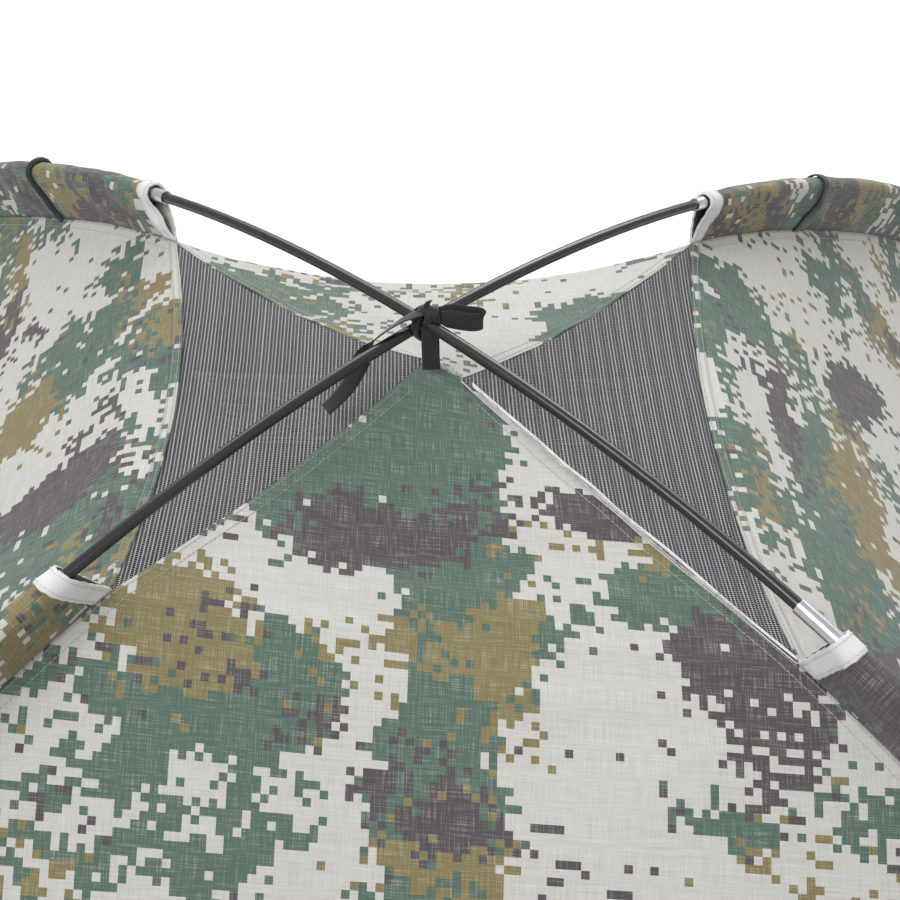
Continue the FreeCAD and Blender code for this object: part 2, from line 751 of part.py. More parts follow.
def crown_tie():
    """The ribbon from the cloth's apex that is tied in a bow over the crossed poles."""
    half = size("ribbon") / 2
    thin = size("ribbon_cloth")
    crossing = Placement(Vector(0, 0, CROWN_HEIGHT), Rotation())
    top = size("pole_spacing") / 2 + size("rod_radius") + 2.4
    front = -12.4
    hang = size("cloth_depth") - size("apex_rise") - 1.5
    knot = (size("knot_width"), size("knot_depth"), size("knot_height"))
    bow = (size("bow_length"), 2 * half, size("bow_height"))
    tail = (size("tail_length"), 2 * half, thin)
    knot_left = 6 - size("knot_width")
    # Each piece: its size along X, Y and Z, and its lowest corner from the crossing of the poles.
    pieces = (
        ("tie_tab", (2 * half, thin, hang + top), (-half, front, -hang)),
        ("tie_bridge", (2 * half, 18, thin), (-half, front, top)),
        ("tie_knot", knot, (knot_left, -size("knot_depth") / 2, top + thin)),
        ("tie_bow", bow, (6, -half, top + thin + 1)),
        ("tie_tail", tail, (knot_left - size("tail_length"), -half, top + thin + 1)),
    )
    solids = []
    for name, (wide, long, tall), corner in pieces:
        solids.append(block(name, "%.3f" % wide, "%.3f" % long, "%.3f" % tall, Vector(*corner), crossing))
    whole = doc.addObject("Part::MultiFuse", "tie")
    whole.Shapes = solids
    keep(whole, "crown_tie")


for pole_name in POLES:
    pole_rods(pole_name)
    pole_ferrules(pole_name)
    pole_end_caps(pole_name)
    pole_shock_cord(pole_name)
sleeves()
walls()
seam_tape()
groundsheet()
door()
zip_slider()
zip_pull()
back_window()
corners()
crown_tie()

# ---------------------------------------------------------------- check and write

doc.recompute()
for item in doc.Objects:
    if "Invalid" in item.State or "Error" in item.State:
        raise SystemExit("%s did not build: %s" % (item.Label, item.State))
for item in kept:
    if item.Shape.isNull() or not item.Shape.isValid():
        raise SystemExit("%s has no valid shape" % item.Label)
    if not item.Shape.Solids:
        raise SystemExit("%s has no solid" % item.Label)

os.makedirs("parts", exist_ok=True)
for item in kept:
    item.Shape.exportStep(os.path.join("parts", item.Label + ".step"))
print(len(kept), "sub-parts written")
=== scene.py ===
import math
import random

import bmesh
import bpy
from mathutils import Matrix, Vector, noise


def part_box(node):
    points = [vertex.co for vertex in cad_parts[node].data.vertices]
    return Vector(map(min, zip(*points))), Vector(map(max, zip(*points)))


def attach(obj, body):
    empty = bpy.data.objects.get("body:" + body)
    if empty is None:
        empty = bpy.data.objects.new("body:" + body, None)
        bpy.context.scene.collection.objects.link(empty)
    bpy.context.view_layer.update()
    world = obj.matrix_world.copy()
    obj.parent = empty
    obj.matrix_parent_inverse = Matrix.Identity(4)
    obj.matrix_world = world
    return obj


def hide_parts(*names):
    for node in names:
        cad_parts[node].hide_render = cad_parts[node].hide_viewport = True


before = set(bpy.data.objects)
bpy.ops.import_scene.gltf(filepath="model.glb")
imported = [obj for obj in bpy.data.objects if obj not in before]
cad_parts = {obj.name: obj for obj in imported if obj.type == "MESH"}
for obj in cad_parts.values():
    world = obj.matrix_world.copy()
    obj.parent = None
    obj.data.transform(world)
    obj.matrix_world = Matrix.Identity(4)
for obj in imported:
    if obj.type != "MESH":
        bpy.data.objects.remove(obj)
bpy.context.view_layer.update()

# ------------------------------------------------------------------ the pole line, as in the frame

ROD_PITCH = 0.585
ARC_RADII = (1.100, 1.230, 1.850, 5.000)
ARC_ENDS = (0.5 * ROD_PITCH, 1.5 * ROD_PITCH, 2.5 * ROD_PITCH, 5 * ROD_PITCH)
POLE_SPACING = 0.0072
ROD_RADIUS = 0.0035
ROOT_HALF = math.sqrt(0.5)
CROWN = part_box("pole_a_rod_4")[1].z - ROD_RADIUS - POLE_SPACING / 2
CROSSING = Vector((0, 0, CROWN))
UP = Vector((0, 0, 1))

# Each corner: the way out from the middle, its pole's height at the crown, how far down the pole the sleeve's
# mouth is at its top and at its seam, and how far below the pole the seam hangs there.
CORNERS = {
    "front_left": {"way": Vector((-1, -1, 0)), "rise": -1, "top": 0.254, "low": 0.234, "drop": 0.032},
    "front_right": {"way": Vector((1, -1, 0)), "rise": 1, "top": 0.305, "low": 0.295, "drop": 0.0345},
    "back_right": {"way": Vector((1, 1, 0)), "rise": -1, "top": 0.282, "low": 0.280, "drop": 0.031},
    "back_left": {"way": Vector((-1, 1, 0)), "rise": 1, "top": 0.259, "low": 0.246, "drop": 0.033},
}
SEAM_DROP = 0.038
# How far down from the mouth the seam comes to its full drop.
SEAM_SETTLES = 0.25
SLEEVE_END = 1.955
WALL_FOOT = 0.112

# The cloth's own apex is a short seam under the crossing: the left net ends at one end of it, and the
# right net at the other.
APEX_LEFT = CROSSING + Vector((0.0063, 0.0085, -0.0335))
APEX_RIGHT = CROSSING + Vector((0.0261, -0.0085, -0.0345))
# How far each crown seam hangs below a straight line at its middle.
SEAM_SAG = {"front_left": 0.008, "front_right": 0.001, "back_right": 0.012, "back_left": 0.013}


def pole_line(length):
    """Reach from the middle, height below the crown and slope at a length down a pole."""
    reach, height, slope, start = 0.0, 0.0, 0.0, 0.0
    for end, radius in zip(ARC_ENDS, ARC_RADII):
        turn = (min(length, end) - start) / radius
        reach += radius * (math.sin(slope + turn) - math.sin(slope))
        height -= radius * (math.cos(slope) - math.cos(slope + turn))
        slope += turn
        start = end
        if length <= end:
            break
    return reach, height, slope


def pole_frame(corner, length):
    """A point of the pole's middle line, and the ways out of the bend, down the pole and across it."""
    facts = CORNERS[corner]
    way = facts["way"].normalized()
    reach, height, slope = pole_line(length)
    lift = CROWN + facts["rise"] * POLE_SPACING / 2 + height
    point = way * reach + UP * lift
    outward = way * math.sin(slope) + UP * math.cos(slope)
    along = way * math.cos(slope) - UP * math.sin(slope)
    return point, outward, along, outward.cross(along)


def blend(low, high, share):
    """The value that is a share of the way from low to high."""
    return low + (high - low) * share


def smooth(low, high, value):
    """0 below low, 1 above high, and an S-curve between."""
    share = min(1.0, max(0.0, (value - low) / (high - low)))
    return share * share * (3 - 2 * share)


def hip(corner, length):
    """The line where two walls meet, at a length down the pole.

    It is a slack chord over the crown, and then runs under the sleeve."""
    facts = CORNERS[corner]
    low = facts["low"]
    if length >= low:
        point, outward, _, _ = pole_frame(corner, length)
        return point - outward * blend(facts["drop"], SEAM_DROP, smooth(low, low + SEAM_SETTLES, length))
    point, outward, _, _ = pole_frame(corner, low)
    mouth = point - outward * facts["drop"]
    apex = APEX_RIGHT if corner in ("front_right", "back_right") else APEX_LEFT
    share = length / low
    return apex.lerp(mouth, share) - UP * (4 * SEAM_SAG[corner] * share * (1 - share))


def foot_length(corner):
    """The length down a hip at which it comes to the walls' lower edge."""
    short, long = 1.6, 2.04
    for _ in range(40):
        middle = (short + long) / 2
        if hip(corner, middle).z > WALL_FOOT:
            short = middle
        else:
            long = middle
    return short


FOOT_LENGTH = {corner: foot_length(corner) for corner in CORNERS}
WALL_END = sum(FOOT_LENGTH.values()) / 4


# ------------------------------------------------------------------ the walls' surfaces

# Each side of the blind: the corner at its left and at its right, as seen from outside, and the way it faces.
SIDES = {
    "front": ("front_left", "front_right", Vector((0, -1, 0))),
    "right": ("front_right", "back_right", Vector((1, 0, 0))),
    "back": ("back_right", "back_left", Vector((0, 1, 0))),
    "left": ("back_left", "front_left", Vector((-1, 0, 0))),
}
# The most that a wall's middle hangs in, and how that grows with the wall's half-width: a factor and a power.
WALL_SAG = {
    "front": (0.080, 0.34, 2),
    "right": (0.075, 0.34, 2),
    "back": (0.088, 6.4, 3),
    "left": (0.075, 0.34, 2),
}
FOLD_SCALE = 0.0045
# The lengths down a side between which its sag dies away.
SAG_FADES = (0.72, 1.50)
# How far each roof net's lower edge bows up towards the crown, at its middle.
NET_BOW = {"left": 0.0215, "right": 0.020}


def mouth_mean(side):
    """How far down its two poles a side's sleeve mouths are, on average."""
    left, right, _ = SIDES[side]
    return (CORNERS[left]["low"] + CORNERS[right]["low"]) / 2


def hip_length(corner, side, length):
    """The length down one hip that goes with a length down the middle of a side."""
    low = CORNERS[corner]["low"]
    mean = mouth_mean(side)
    if length < mean:
        return length * low / mean
    return low + (length - mean) * (FOOT_LENGTH[corner] - low) / (WALL_END - mean)


def wall_row(side, length):
    """A row across a side, at a length down it.

    Gives the two hips' points, the way out of the cloth there, its half-width, and how far its middle sags."""
    left, right, facing = SIDES[side]
    low = hip(left, hip_length(left, side, length))
    high = hip(right, hip_length(right, side, length))
    _, _, slope = pole_line(length)
    lean = math.atan(math.tan(slope) * math.sqrt(2))
    outward = facing * math.sin(lean) + UP * math.cos(lean)
    half_width = (high - low).length / 2
    most, factor, power = WALL_SAG[side]
    sag = most * (1 - math.exp(-factor * half_width ** power / most)) * (1 - smooth(*SAG_FADES, length))
    return low, high, outward, half_width, sag


def wall_point(side, length, across, lift=0.0, row=None):
    """A point of a side's cloth.

    length runs down from the apex, and across from -1 at its left hip to 1 at its right."""
    low, high, outward, half_width, sag = row or wall_row(side, length)
    folds = cloth_folds(side, length, across, half_width)
    return low.lerp(high, (across + 1) / 2) + outward * (lift + folds - sag * (1 - across * across))


def cloth_folds(side, length, across, half_width):
    """Soft folds: pulls that fan out of the sleeve mouths, and slow ripples over the whole wall."""
    left, right, _ = SIDES[side]
    seed = list(SIDES).index(side) * 7.3
    edge = 1 - abs(across)
    calm = smooth(0.0, 0.10, edge * half_width) * smooth(0.02, 0.12, length) * (1 - smooth(1.7, 1.9, length))
    height = noise.noise(Vector((across * half_width * 5 + seed, length * 3.0, seed))) * 0.9
    height += noise.noise(Vector((across * half_width * 13, length * 8 + seed, seed + 3))) * 0.28
    height *= calm
    for corner, way in ((left, -1), (right, 1)):
        down = length - CORNERS[corner]["low"]
        inward = (1 - way * across) * half_width
        distance = math.hypot(down, inward)
        angle = math.atan2(inward, down)
        fan = math.sin(angle * 13 + 2.2 * noise.noise(Vector((angle * 2, seed, 1.5))) + seed + way)
        fan *= math.exp(-distance / 0.16) * smooth(0.0, 0.03, distance) * smooth(0.0, 0.25, inward)
        height += 0.75 * fan
    return height * FOLD_SCALE


def border_length(side, across):
    """Where the roof net ends on the left and right sides.

    It is a line between the mouths that bows up to the crown."""
    return mouth_mean(side) - NET_BOW[side] * (1 - across * across)



# ------------------------------------------------------------------ mesh helpers

def new_piece(name, points, faces, material, body="blind", uvs=None):
    """A mesh piece that rides on a body. uvs gives each point its place on the flat cloth, in metres."""
    mesh = bpy.data.meshes.new(name)
    mesh.from_pydata([tuple(p) for p in points], [], faces)
    if uvs:
        layer = mesh.uv_layers.new(name="cloth")
        for loop in mesh.loops:
            layer.data[loop.index].uv = uvs[loop.vertex_index]
    mesh.validate()
    mesh.shade_smooth()
    piece = bpy.data.objects.new(name, mesh)
    bpy.context.scene.collection.objects.link(piece)
    mesh.materials.append(material)
    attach(piece, body)
    return piece


def thicken(piece, thickness, offset=-1.0, painted_inner_shade=None):
    """Give a sheet its thickness and make it a closed shell. An inner finish, if given, is painted shade."""
    solid = piece.modifiers.new("thickness", "SOLIDIFY")
    if painted_inner_shade:
        piece.data.materials.append(painted_inner_shade)
        solid.material_offset = 1
    solid.thickness = thickness
    solid.offset = offset
    solid.use_even_offset = False
    apply_modifiers(piece)


def apply_modifiers(piece):
    """Turn a piece's modifiers into plain mesh."""
    graph = bpy.context.evaluated_depsgraph_get()
    made = bpy.data.meshes.new_from_object(piece.evaluated_get(graph))
    old = piece.data
    piece.modifiers.clear()
    piece.data = made
    made.name = old.name
    bpy.data.meshes.remove(old)


def grid_faces(rows, columns, closed=False):
    """Quads over rows of points, each row joined to the next."""
    faces = []
    last = columns if closed else columns - 1
    for row in range(rows - 1):
        for column in range(last):
            beside = (column + 1) % columns
            here = row * columns
            faces.append((here + column, here + beside, here + columns + beside, here + columns + column))
    return faces


def tube_mesh(points, radius, sides=8):
    """Points and faces of a round tube along a path. radius is one number, or one for each point."""
    count = len(points)
    radii = radius if isinstance(radius, (list, tuple)) else [radius] * count
    rings = []
    guide = Vector((0.3, 0.2, 1.0)).normalized()
    for place, point in enumerate(points):
        before = points[place - 1] if place else point
        after = points[place + 1] if place < count - 1 else point
        along = (after - before).normalized()
        across = along.cross(guide)
        if across.length < 0.05:
            across = along.cross(Vector((1, 0, 0)))
        across.normalize()
        guide = across.cross(along).normalized()
        for step in range(sides):
            turn = 2 * math.pi * step / sides
            rings.append(point + (across * math.cos(turn) + guide * math.sin(turn)) * radii[place])
    faces = grid_faces(count, sides, True)
    faces.append(tuple(range(sides)))
    faces.append(tuple(reversed(range((count - 1) * sides, count * sides))))
    return rings, faces


def joined(parts):
    """One list of points and faces from several."""
    points, faces = [], []
    for some_points, some_faces in parts:
        start = len(points)
        points += some_points
        faces += [tuple(corner + start for corner in face) for face in some_faces]
    return points, faces


def smooth_path(points, steps):
    """Catmull-Rom curve through a few given points."""
    padded = [points[0] * 2 - points[1]] + list(points) + [points[-1] * 2 - points[-2]]
    path = []
    for place in range(1, len(padded) - 2):
        before, start, end, after = padded[place - 1:place + 3]
        for step in range(steps):
            t = step / steps
            bend = (2 * before - 5 * start + 4 * end - after) * t * t
            twist = (3 * start - before - 3 * end + after) * t * t * t
            path.append(0.5 * (2 * start + (end - before) * t + bend + twist))
    path.append(padded[-2])
    return path


def ribbon_mesh(path, sides, thickness, ribs=4):
    """Points and faces of a flat woven band: a path, a half-width vector at each point, and a thickness."""
    count = len(path)
    around = []
    for step in range(ribs + 1):
        around.append((-1 + 2 * step / ribs, 0.5))
    for step in range(ribs + 1):
        around.append((1 - 2 * step / ribs, -0.5))
    points = []
    for place in range(count):
        before = path[max(0, place - 1)]
        after = path[min(count - 1, place + 1)]
        face = sides[place].cross(after - before).normalized()
        for across, level in around:
            dome = thickness * (0.35 + 0.65 * math.sqrt(max(0.0, 1 - across * across * 0.96)))
            points.append(path[place] + sides[place] * across + face * dome * level)
    faces = grid_faces(count, len(around), True)
    faces.append(tuple(range(len(around))))
    faces.append(tuple(reversed(range((count - 1) * len(around), count * len(around)))))
    return points, faces


def stitch_parts(path, normals, pitch=0.0030, length=0.0024, radius=0.00020):
    """A row of raised thread stitches along a path that lies on cloth."""
    parts = []
    travelled = 0.0
    next_at = pitch / 2
    for start, end, normal in zip(path, path[1:], normals):
        step = (end - start).length
        while step > 0 and next_at < travelled + step:
            share = (next_at - travelled) / step
            middle = start.lerp(end, share)
            along = (end - start).normalized() * (length / 2)
            lift = normal.normalized() * radius
            ends = [middle - along - lift, middle - along * 0.6 + lift, middle + along * 0.6 + lift,
                    middle + along - lift]
            parts.append(tube_mesh(ends, [radius * 0.7, radius, radius, radius * 0.7], sides=5))
            next_at += pitch
        travelled += step
    return parts


# ------------------------------------------------------------------ materials

def srgb(red, green, blue):
    """A display colour as the linear one that shaders use."""
    def linear(value):
        value /= 255
        return value / 12.92 if value <= 0.04045 else ((value + 0.055) / 1.055) ** 2.4
    return (linear(red), linear(green), linear(blue), 1.0)


def new_material(name):
    """A material, its nodes and links, and its shader."""
    material = bpy.data.materials.new(name)
    material.use_nodes = True
    nodes = material.node_tree.nodes
    return material, nodes, material.node_tree.links, nodes["Principled BSDF"]


def math_node(nodes, links, kind, first, second=None, clamp=False):
    """One sum on numbers or on other nodes' values."""
    node = nodes.new("ShaderNodeMath")
    node.operation = kind
    node.use_clamp = clamp
    for socket, value in zip(node.inputs, (first, second)):
        if value is None:
            continue
        if isinstance(value, (int, float)):
            socket.default_value = value
        else:
            links.new(value, socket)
    return node.outputs[0]


def mix_colour(nodes, links, share, first, second, blend_type="MIX"):
    """Two colours mixed, or multiplied, by a share."""
    node = nodes.new("ShaderNodeMix")
    node.data_type = "RGBA"
    node.blend_type = blend_type
    for socket, value in ((node.inputs[0], share), (node.inputs[6], first), (node.inputs[7], second)):
        if isinstance(value, (int, float, tuple)):
            socket.default_value = value
        else:
            links.new(value, socket)
    return node.outputs[2]


def noise_value(nodes, links, vector, scale, detail=2.0, rough=0.5):
    """Smooth noise between 0 and 1 at a place."""
    node = nodes.new("ShaderNodeTexNoise")
    node.inputs["Scale"].default_value = scale
    node.inputs["Detail"].default_value = detail
    node.inputs["Roughness"].default_value = rough
    links.new(vector, node.inputs["Vector"])
    return node.outputs["Fac"]


def moved(nodes, links, vector, location=(0, 0, 0), scale=(1, 1, 1)):
    """A place that is shifted and stretched."""
    node = nodes.new("ShaderNodeMapping")
    node.inputs["Location"].default_value = location
    node.inputs["Scale"].default_value = scale
    links.new(vector, node.inputs["Vector"])
    return node.outputs[0]


def bumped(nodes, links, height, strength, distance, normal=None):
    """A normal tilted by a height, on top of another normal if one is given."""
    node = nodes.new("ShaderNodeBump")
    node.inputs["Strength"].default_value = strength
    node.inputs["Distance"].default_value = distance
    links.new(height, node.inputs["Height"])
    if normal is not None:
        links.new(normal, node.inputs["Normal"])
    return node.outputs[0]


STONE = srgb(182, 180, 175)
GREEN = srgb(74, 96, 84)
KHAKI = srgb(118, 108, 72)
DARK = srgb(73, 68, 71)
CAMO_CELL = 0.0043


def camo_material(name, seed, zones=()):
    """Printed camouflage of square cells on slubby plain-woven cloth.

    zones are places on the flat cloth where a colour is made likelier or rarer:
    (colour, across, down, half width, half height, strength)."""
    material, nodes, links, shader = new_material(name)
    uv = nodes.new("ShaderNodeUVMap")
    uv.uv_map = "cloth"
    flat = uv.outputs[0]
    snap = nodes.new("ShaderNodeVectorMath")
    snap.operation = "SNAP"
    snap.inputs[1].default_value = (CAMO_CELL, CAMO_CELL, 1)
    links.new(flat, snap.inputs[0])
    cells = snap.outputs[0]
    place = nodes.new("ShaderNodeSeparateXYZ")
    links.new(cells, place.inputs[0])

    white = nodes.new("ShaderNodeTexWhiteNoise")
    white.noise_dimensions = "3D"
    links.new(moved(nodes, links, cells, (seed, seed * 0.37, 0.2), (231.1, 231.1, 1)), white.inputs["Vector"])
    scatter = nodes.new("ShaderNodeSeparateColor")
    links.new(white.outputs["Color"], scatter.inputs[0])

    colour = STONE
    inks = (
        ("green", GREEN, (0.9, 6.4), 0.530, 0.09),
        ("khaki", KHAKI, (5.1, 2.7), 0.585, 0.12),
        ("dark", DARK, (3.3, 9.2), 0.598, 0.10),
    )
    for order, (label, ink, offset, threshold, spread) in enumerate(inks):
        where = moved(nodes, links, cells, (offset[0] + seed, offset[1] + seed, seed), (9.0, 13.0, 1))
        value = noise_value(nodes, links, where, 1.0, 6.0, 0.62)
        speck = math_node(nodes, links, "SUBTRACT", scatter.outputs[order], 0.5)
        speck = math_node(nodes, links, "MULTIPLY", math_node(nodes, links, "POWER", speck, 3.0), spread * 7)
        value = math_node(nodes, links, "ADD", value, speck)
        for zone, across, down, wide, tall, strength in zones:
            if zone not in (label, "all"):
                continue
            dx = math_node(nodes, links, "SUBTRACT", place.outputs[0], across)
            dx = math_node(nodes, links, "MULTIPLY", dx, 1 / wide)
            dy = math_node(nodes, links, "SUBTRACT", place.outputs[1], down)
            dy = math_node(nodes, links, "MULTIPLY", dy, 1 / tall)
            far = math_node(nodes, links, "ADD", math_node(nodes, links, "MULTIPLY", dx, dx),
                            math_node(nodes, links, "MULTIPLY", dy, dy))
            fall = math_node(nodes, links, "EXPONENT", math_node(nodes, links, "MULTIPLY", far, -1.0))
            value = math_node(nodes, links, "ADD", value, math_node(nodes, links, "MULTIPLY", fall, strength))
        mask = math_node(nodes, links, "GREATER_THAN", value, threshold)
        colour = mix_colour(nodes, links, mask, colour, ink)

    warp = noise_value(nodes, links, moved(nodes, links, flat, (seed, 0, 0), (1500, 60, 1)), 1.0, 2.0)
    weft = noise_value(nodes, links, moved(nodes, links, flat, (0, seed, 5), (60, 1500, 1)), 1.0, 2.0)
    slub = noise_value(nodes, links, moved(nodes, links, flat, (0, seed, 9), (14, 420, 1)), 1.0, 3.0)
    thread = math_node(nodes, links, "ADD", warp, weft)
    bare = math_node(nodes, links, "MULTIPLY", math_node(nodes, links, "SUBTRACT", thread, 1.02), 1.0, True)
    colour = mix_colour(nodes, links, bare, colour, STONE)
    shade = math_node(nodes, links, "ADD", math_node(nodes, links, "MULTIPLY", thread, 0.40), 0.50)
    shade = math_node(nodes, links, "ADD", shade, math_node(nodes, links, "MULTIPLY", slub, 0.20))
    print_fade = noise_value(nodes, links, moved(nodes, links, flat, (seed, 3, 0)), 6.0, 4.0)
    fade = math_node(nodes, links, "ADD", math_node(nodes, links, "MULTIPLY", print_fade, 0.16), 0.92)
    shade = math_node(nodes, links, "MULTIPLY", shade, fade)
    grey = nodes.new("ShaderNodeCombineColor")
    for socket in grey.inputs[:3]:
        links.new(shade, socket)
    colour = mix_colour(nodes, links, 1.0, colour, grey.outputs[0], "MULTIPLY")
    links.new(colour, shader.inputs["Base Color"])

    drawn_out = moved(nodes, links, flat, (seed, seed, 2), (1, 0.55, 1))
    creases = noise_value(nodes, links, drawn_out, 26.0, 3.0, 0.55)
    creased = bumped(nodes, links, creases, 0.35, 0.0022)
    links.new(bumped(nodes, links, thread, 0.5, 0.00025, creased), shader.inputs["Normal"])
    rough = math_node(nodes, links, "ADD", math_node(nodes, links, "MULTIPLY", slub, 0.15), 0.62)
    links.new(rough, shader.inputs["Roughness"])
    shader.inputs["Sheen Weight"].default_value = 0.12
    shader.inputs["Sheen Roughness"].default_value = 0.5
    shader.inputs["Specular IOR Level"].default_value = 0.35
    return material


def woven_material(name, ink, rib_scale=1400, contrast=0.35, rough=0.75, bump=0.6):
    """Plain woven tape or ribbon: fine ribs across it, and a little uneven wear."""
    material, nodes, links, shader = new_material(name)
    where = nodes.new("ShaderNodeTexCoord").outputs["Object"]
    fine = moved(nodes, links, where, (0, 0, 0), (rib_scale, rib_scale * 0.35, rib_scale))
    ribs = noise_value(nodes, links, fine, 1.0, 2.0)
    wear = noise_value(nodes, links, where, 45.0, 4.0)
    shade = math_node(nodes, links, "MULTIPLY", ribs, contrast)
    shade = math_node(nodes, links, "ADD", shade, 1 - contrast / 2)
    shade = math_node(nodes, links, "MULTIPLY", shade,
                      math_node(nodes, links, "ADD", math_node(nodes, links, "MULTIPLY", wear, 0.3), 0.85))
    grey = nodes.new("ShaderNodeCombineColor")
    for socket in grey.inputs[:3]:
        links.new(shade, socket)
    links.new(mix_colour(nodes, links, 1.0, ink, grey.outputs[0], "MULTIPLY"), shader.inputs["Base Color"])
    links.new(bumped(nodes, links, ribs, bump, 0.0003), shader.inputs["Normal"])
    roughness = math_node(nodes, links, "ADD", math_node(nodes, links, "MULTIPLY", wear, 0.2), rough - 0.1)
    links.new(roughness, shader.inputs["Roughness"])
    shader.inputs["Sheen Weight"].default_value = 0.2
    return material


def rod_material():
    """Black pultruded fibreglass: glossy, with faint lengthwise streaks and small scuffs."""
    material, nodes, links, shader = new_material("black_fibreglass")
    where = nodes.new("ShaderNodeTexCoord").outputs["Object"]
    scuffs = noise_value(nodes, links, where, 160.0, 5.0, 0.6)
    soil = noise_value(nodes, links, where, 22.0, 4.0)
    links.new(mix_colour(nodes, links, soil, srgb(24, 22, 22), srgb(38, 35, 35)), shader.inputs["Base Color"])
    rough = math_node(nodes, links, "ADD", math_node(nodes, links, "MULTIPLY", scuffs, 0.16), 0.20)
    links.new(rough, shader.inputs["Roughness"])
    links.new(bumped(nodes, links, scuffs, 0.12, 0.0002), shader.inputs["Normal"])
    shader.inputs["Coat Weight"].default_value = 0.25
    shader.inputs["Coat Roughness"].default_value = 0.12
    return material


METAL_GRAIN = 220.0


def metal_material(name, bright, dull, rough):
    """Plated or rolled metal with fine brushing and dull spots."""
    material, nodes, links, shader = new_material(name)
    where = nodes.new("ShaderNodeTexCoord").outputs["Object"]
    spots = noise_value(nodes, links, where, METAL_GRAIN, 5.0, 0.6)
    wide = noise_value(nodes, links, where, METAL_GRAIN / 9, 3.0)
    links.new(mix_colour(nodes, links, wide, dull, bright), shader.inputs["Base Color"])
    shader.inputs["Metallic"].default_value = 1.0
    roughness = math_node(nodes, links, "ADD", math_node(nodes, links, "MULTIPLY", spots, 0.18), rough)
    links.new(roughness, shader.inputs["Roughness"])
    links.new(bumped(nodes, links, spots, 0.1, 0.0002), shader.inputs["Normal"])
    return material


def thread_material(name, ink):
    """Sewing thread and net yarn: slightly glossy filament."""
    material, nodes, links, shader = new_material(name)
    where = nodes.new("ShaderNodeTexCoord").outputs["Object"]
    twist = noise_value(nodes, links, where, 900.0, 2.0)
    dark = tuple(channel * 0.72 for channel in ink[:3]) + (1.0,)
    links.new(mix_colour(nodes, links, twist, dark, ink), shader.inputs["Base Color"])
    rough = math_node(nodes, links, "ADD", math_node(nodes, links, "MULTIPLY", twist, 0.2), 0.45)
    links.new(rough, shader.inputs["Roughness"])
    return material


def floor_cloth_material():
    """Coated woven groundsheet: a dark green tape weave under a slightly shiny coat."""
    material, nodes, links, shader = new_material("groundsheet_cloth")
    where = nodes.new("ShaderNodeTexCoord").outputs["Object"]
    weave = nodes.new("ShaderNodeTexChecker")
    weave.inputs["Scale"].default_value = 420.0
    links.new(where, weave.inputs["Vector"])
    scuffs = noise_value(nodes, links, where, 9.0, 6.0, 0.6)
    base = mix_colour(nodes, links, scuffs, srgb(34, 44, 36), srgb(58, 70, 58))
    links.new(mix_colour(nodes, links, math_node(nodes, links, "MULTIPLY", weave.outputs["Fac"], 0.22), base,
                         srgb(76, 88, 74)), shader.inputs["Base Color"])
    links.new(bumped(nodes, links, weave.outputs["Fac"], 0.35, 0.0003), shader.inputs["Normal"])
    rough = math_node(nodes, links, "ADD", math_node(nodes, links, "MULTIPLY", scuffs, 0.3), 0.32)
    links.new(rough, shader.inputs["Roughness"])
    return material


# ------------------------------------------------------------------ the view, the floor and the light

def rolled(vector, turn):
    """A vector turned about the upright axis."""
    return Matrix.Rotation(turn, 3, "Z") @ vector


def make_camera():
    """The camera looks down on the crown from the front."""
    elevation = math.radians(40.92)
    roll = math.radians(-0.84)
    heading = math.radians(-0.66)
    distance = 0.901
    sideways = -0.02168
    upward = 0.08252
    right = Vector((1, 0, 0))
    ahead = Vector((0, math.cos(elevation), -math.sin(elevation)))
    above = Vector((0, math.sin(elevation), math.cos(elevation)))
    across = right * math.cos(roll) - above * math.sin(roll)
    top = right * math.sin(roll) + above * math.cos(roll)
    place = CROSSING - ahead * distance - across * (sideways * distance) - top * (upward * distance)
    lens = bpy.data.cameras.new("camera")
    lens.lens = 62.0
    lens.clip_end = 60
    camera = bpy.data.objects.new("camera", lens)
    columns = [rolled(v, heading) for v in (across, top, -ahead)]
    camera.matrix_world = Matrix(columns).transposed().to_4x4()
    camera.location = rolled(place, heading)
    bpy.context.scene.collection.objects.link(camera)
    bpy.context.scene.camera = camera


def make_floor():
    """The white studio floor."""
    half = 14.0
    mesh = bpy.data.meshes.new("floor")
    corners = [(-half, -half, 0), (half, -half, 0), (half, half, 0), (-half, half, 0)]
    mesh.from_pydata(corners, [], [(0, 1, 2, 3)])
    floor = bpy.data.objects.new("floor", mesh)
    bpy.context.scene.collection.objects.link(floor)
    material, nodes, links, shader = new_material("floor_paint")
    where = nodes.new("ShaderNodeTexCoord").outputs["Object"]
    cloud = noise_value(nodes, links, where, 1.2, 3.0)
    links.new(mix_colour(nodes, links, cloud, (0.90, 0.90, 0.90, 1), (0.93, 0.93, 0.93, 1)),
              shader.inputs["Base Color"])
    shader.inputs["Roughness"].default_value = 0.8
    shader.inputs["Specular IOR Level"].default_value = 0.1
    mesh.materials.append(material)


def area_light(name, place, target, size, power):
    """A soft rectangular lamp that looks at a target."""
    light = bpy.data.lights.new(name, "AREA")
    light.shape = "RECTANGLE"
    light.size, light.size_y = size
    light.energy = power
    lamp = bpy.data.objects.new(name, light)
    lamp.location = place
    aim = Vector(target) - Vector(place)
    lamp.rotation_euler = aim.to_track_quat("-Z", "Y").to_euler()
    bpy.context.scene.collection.objects.link(lamp)


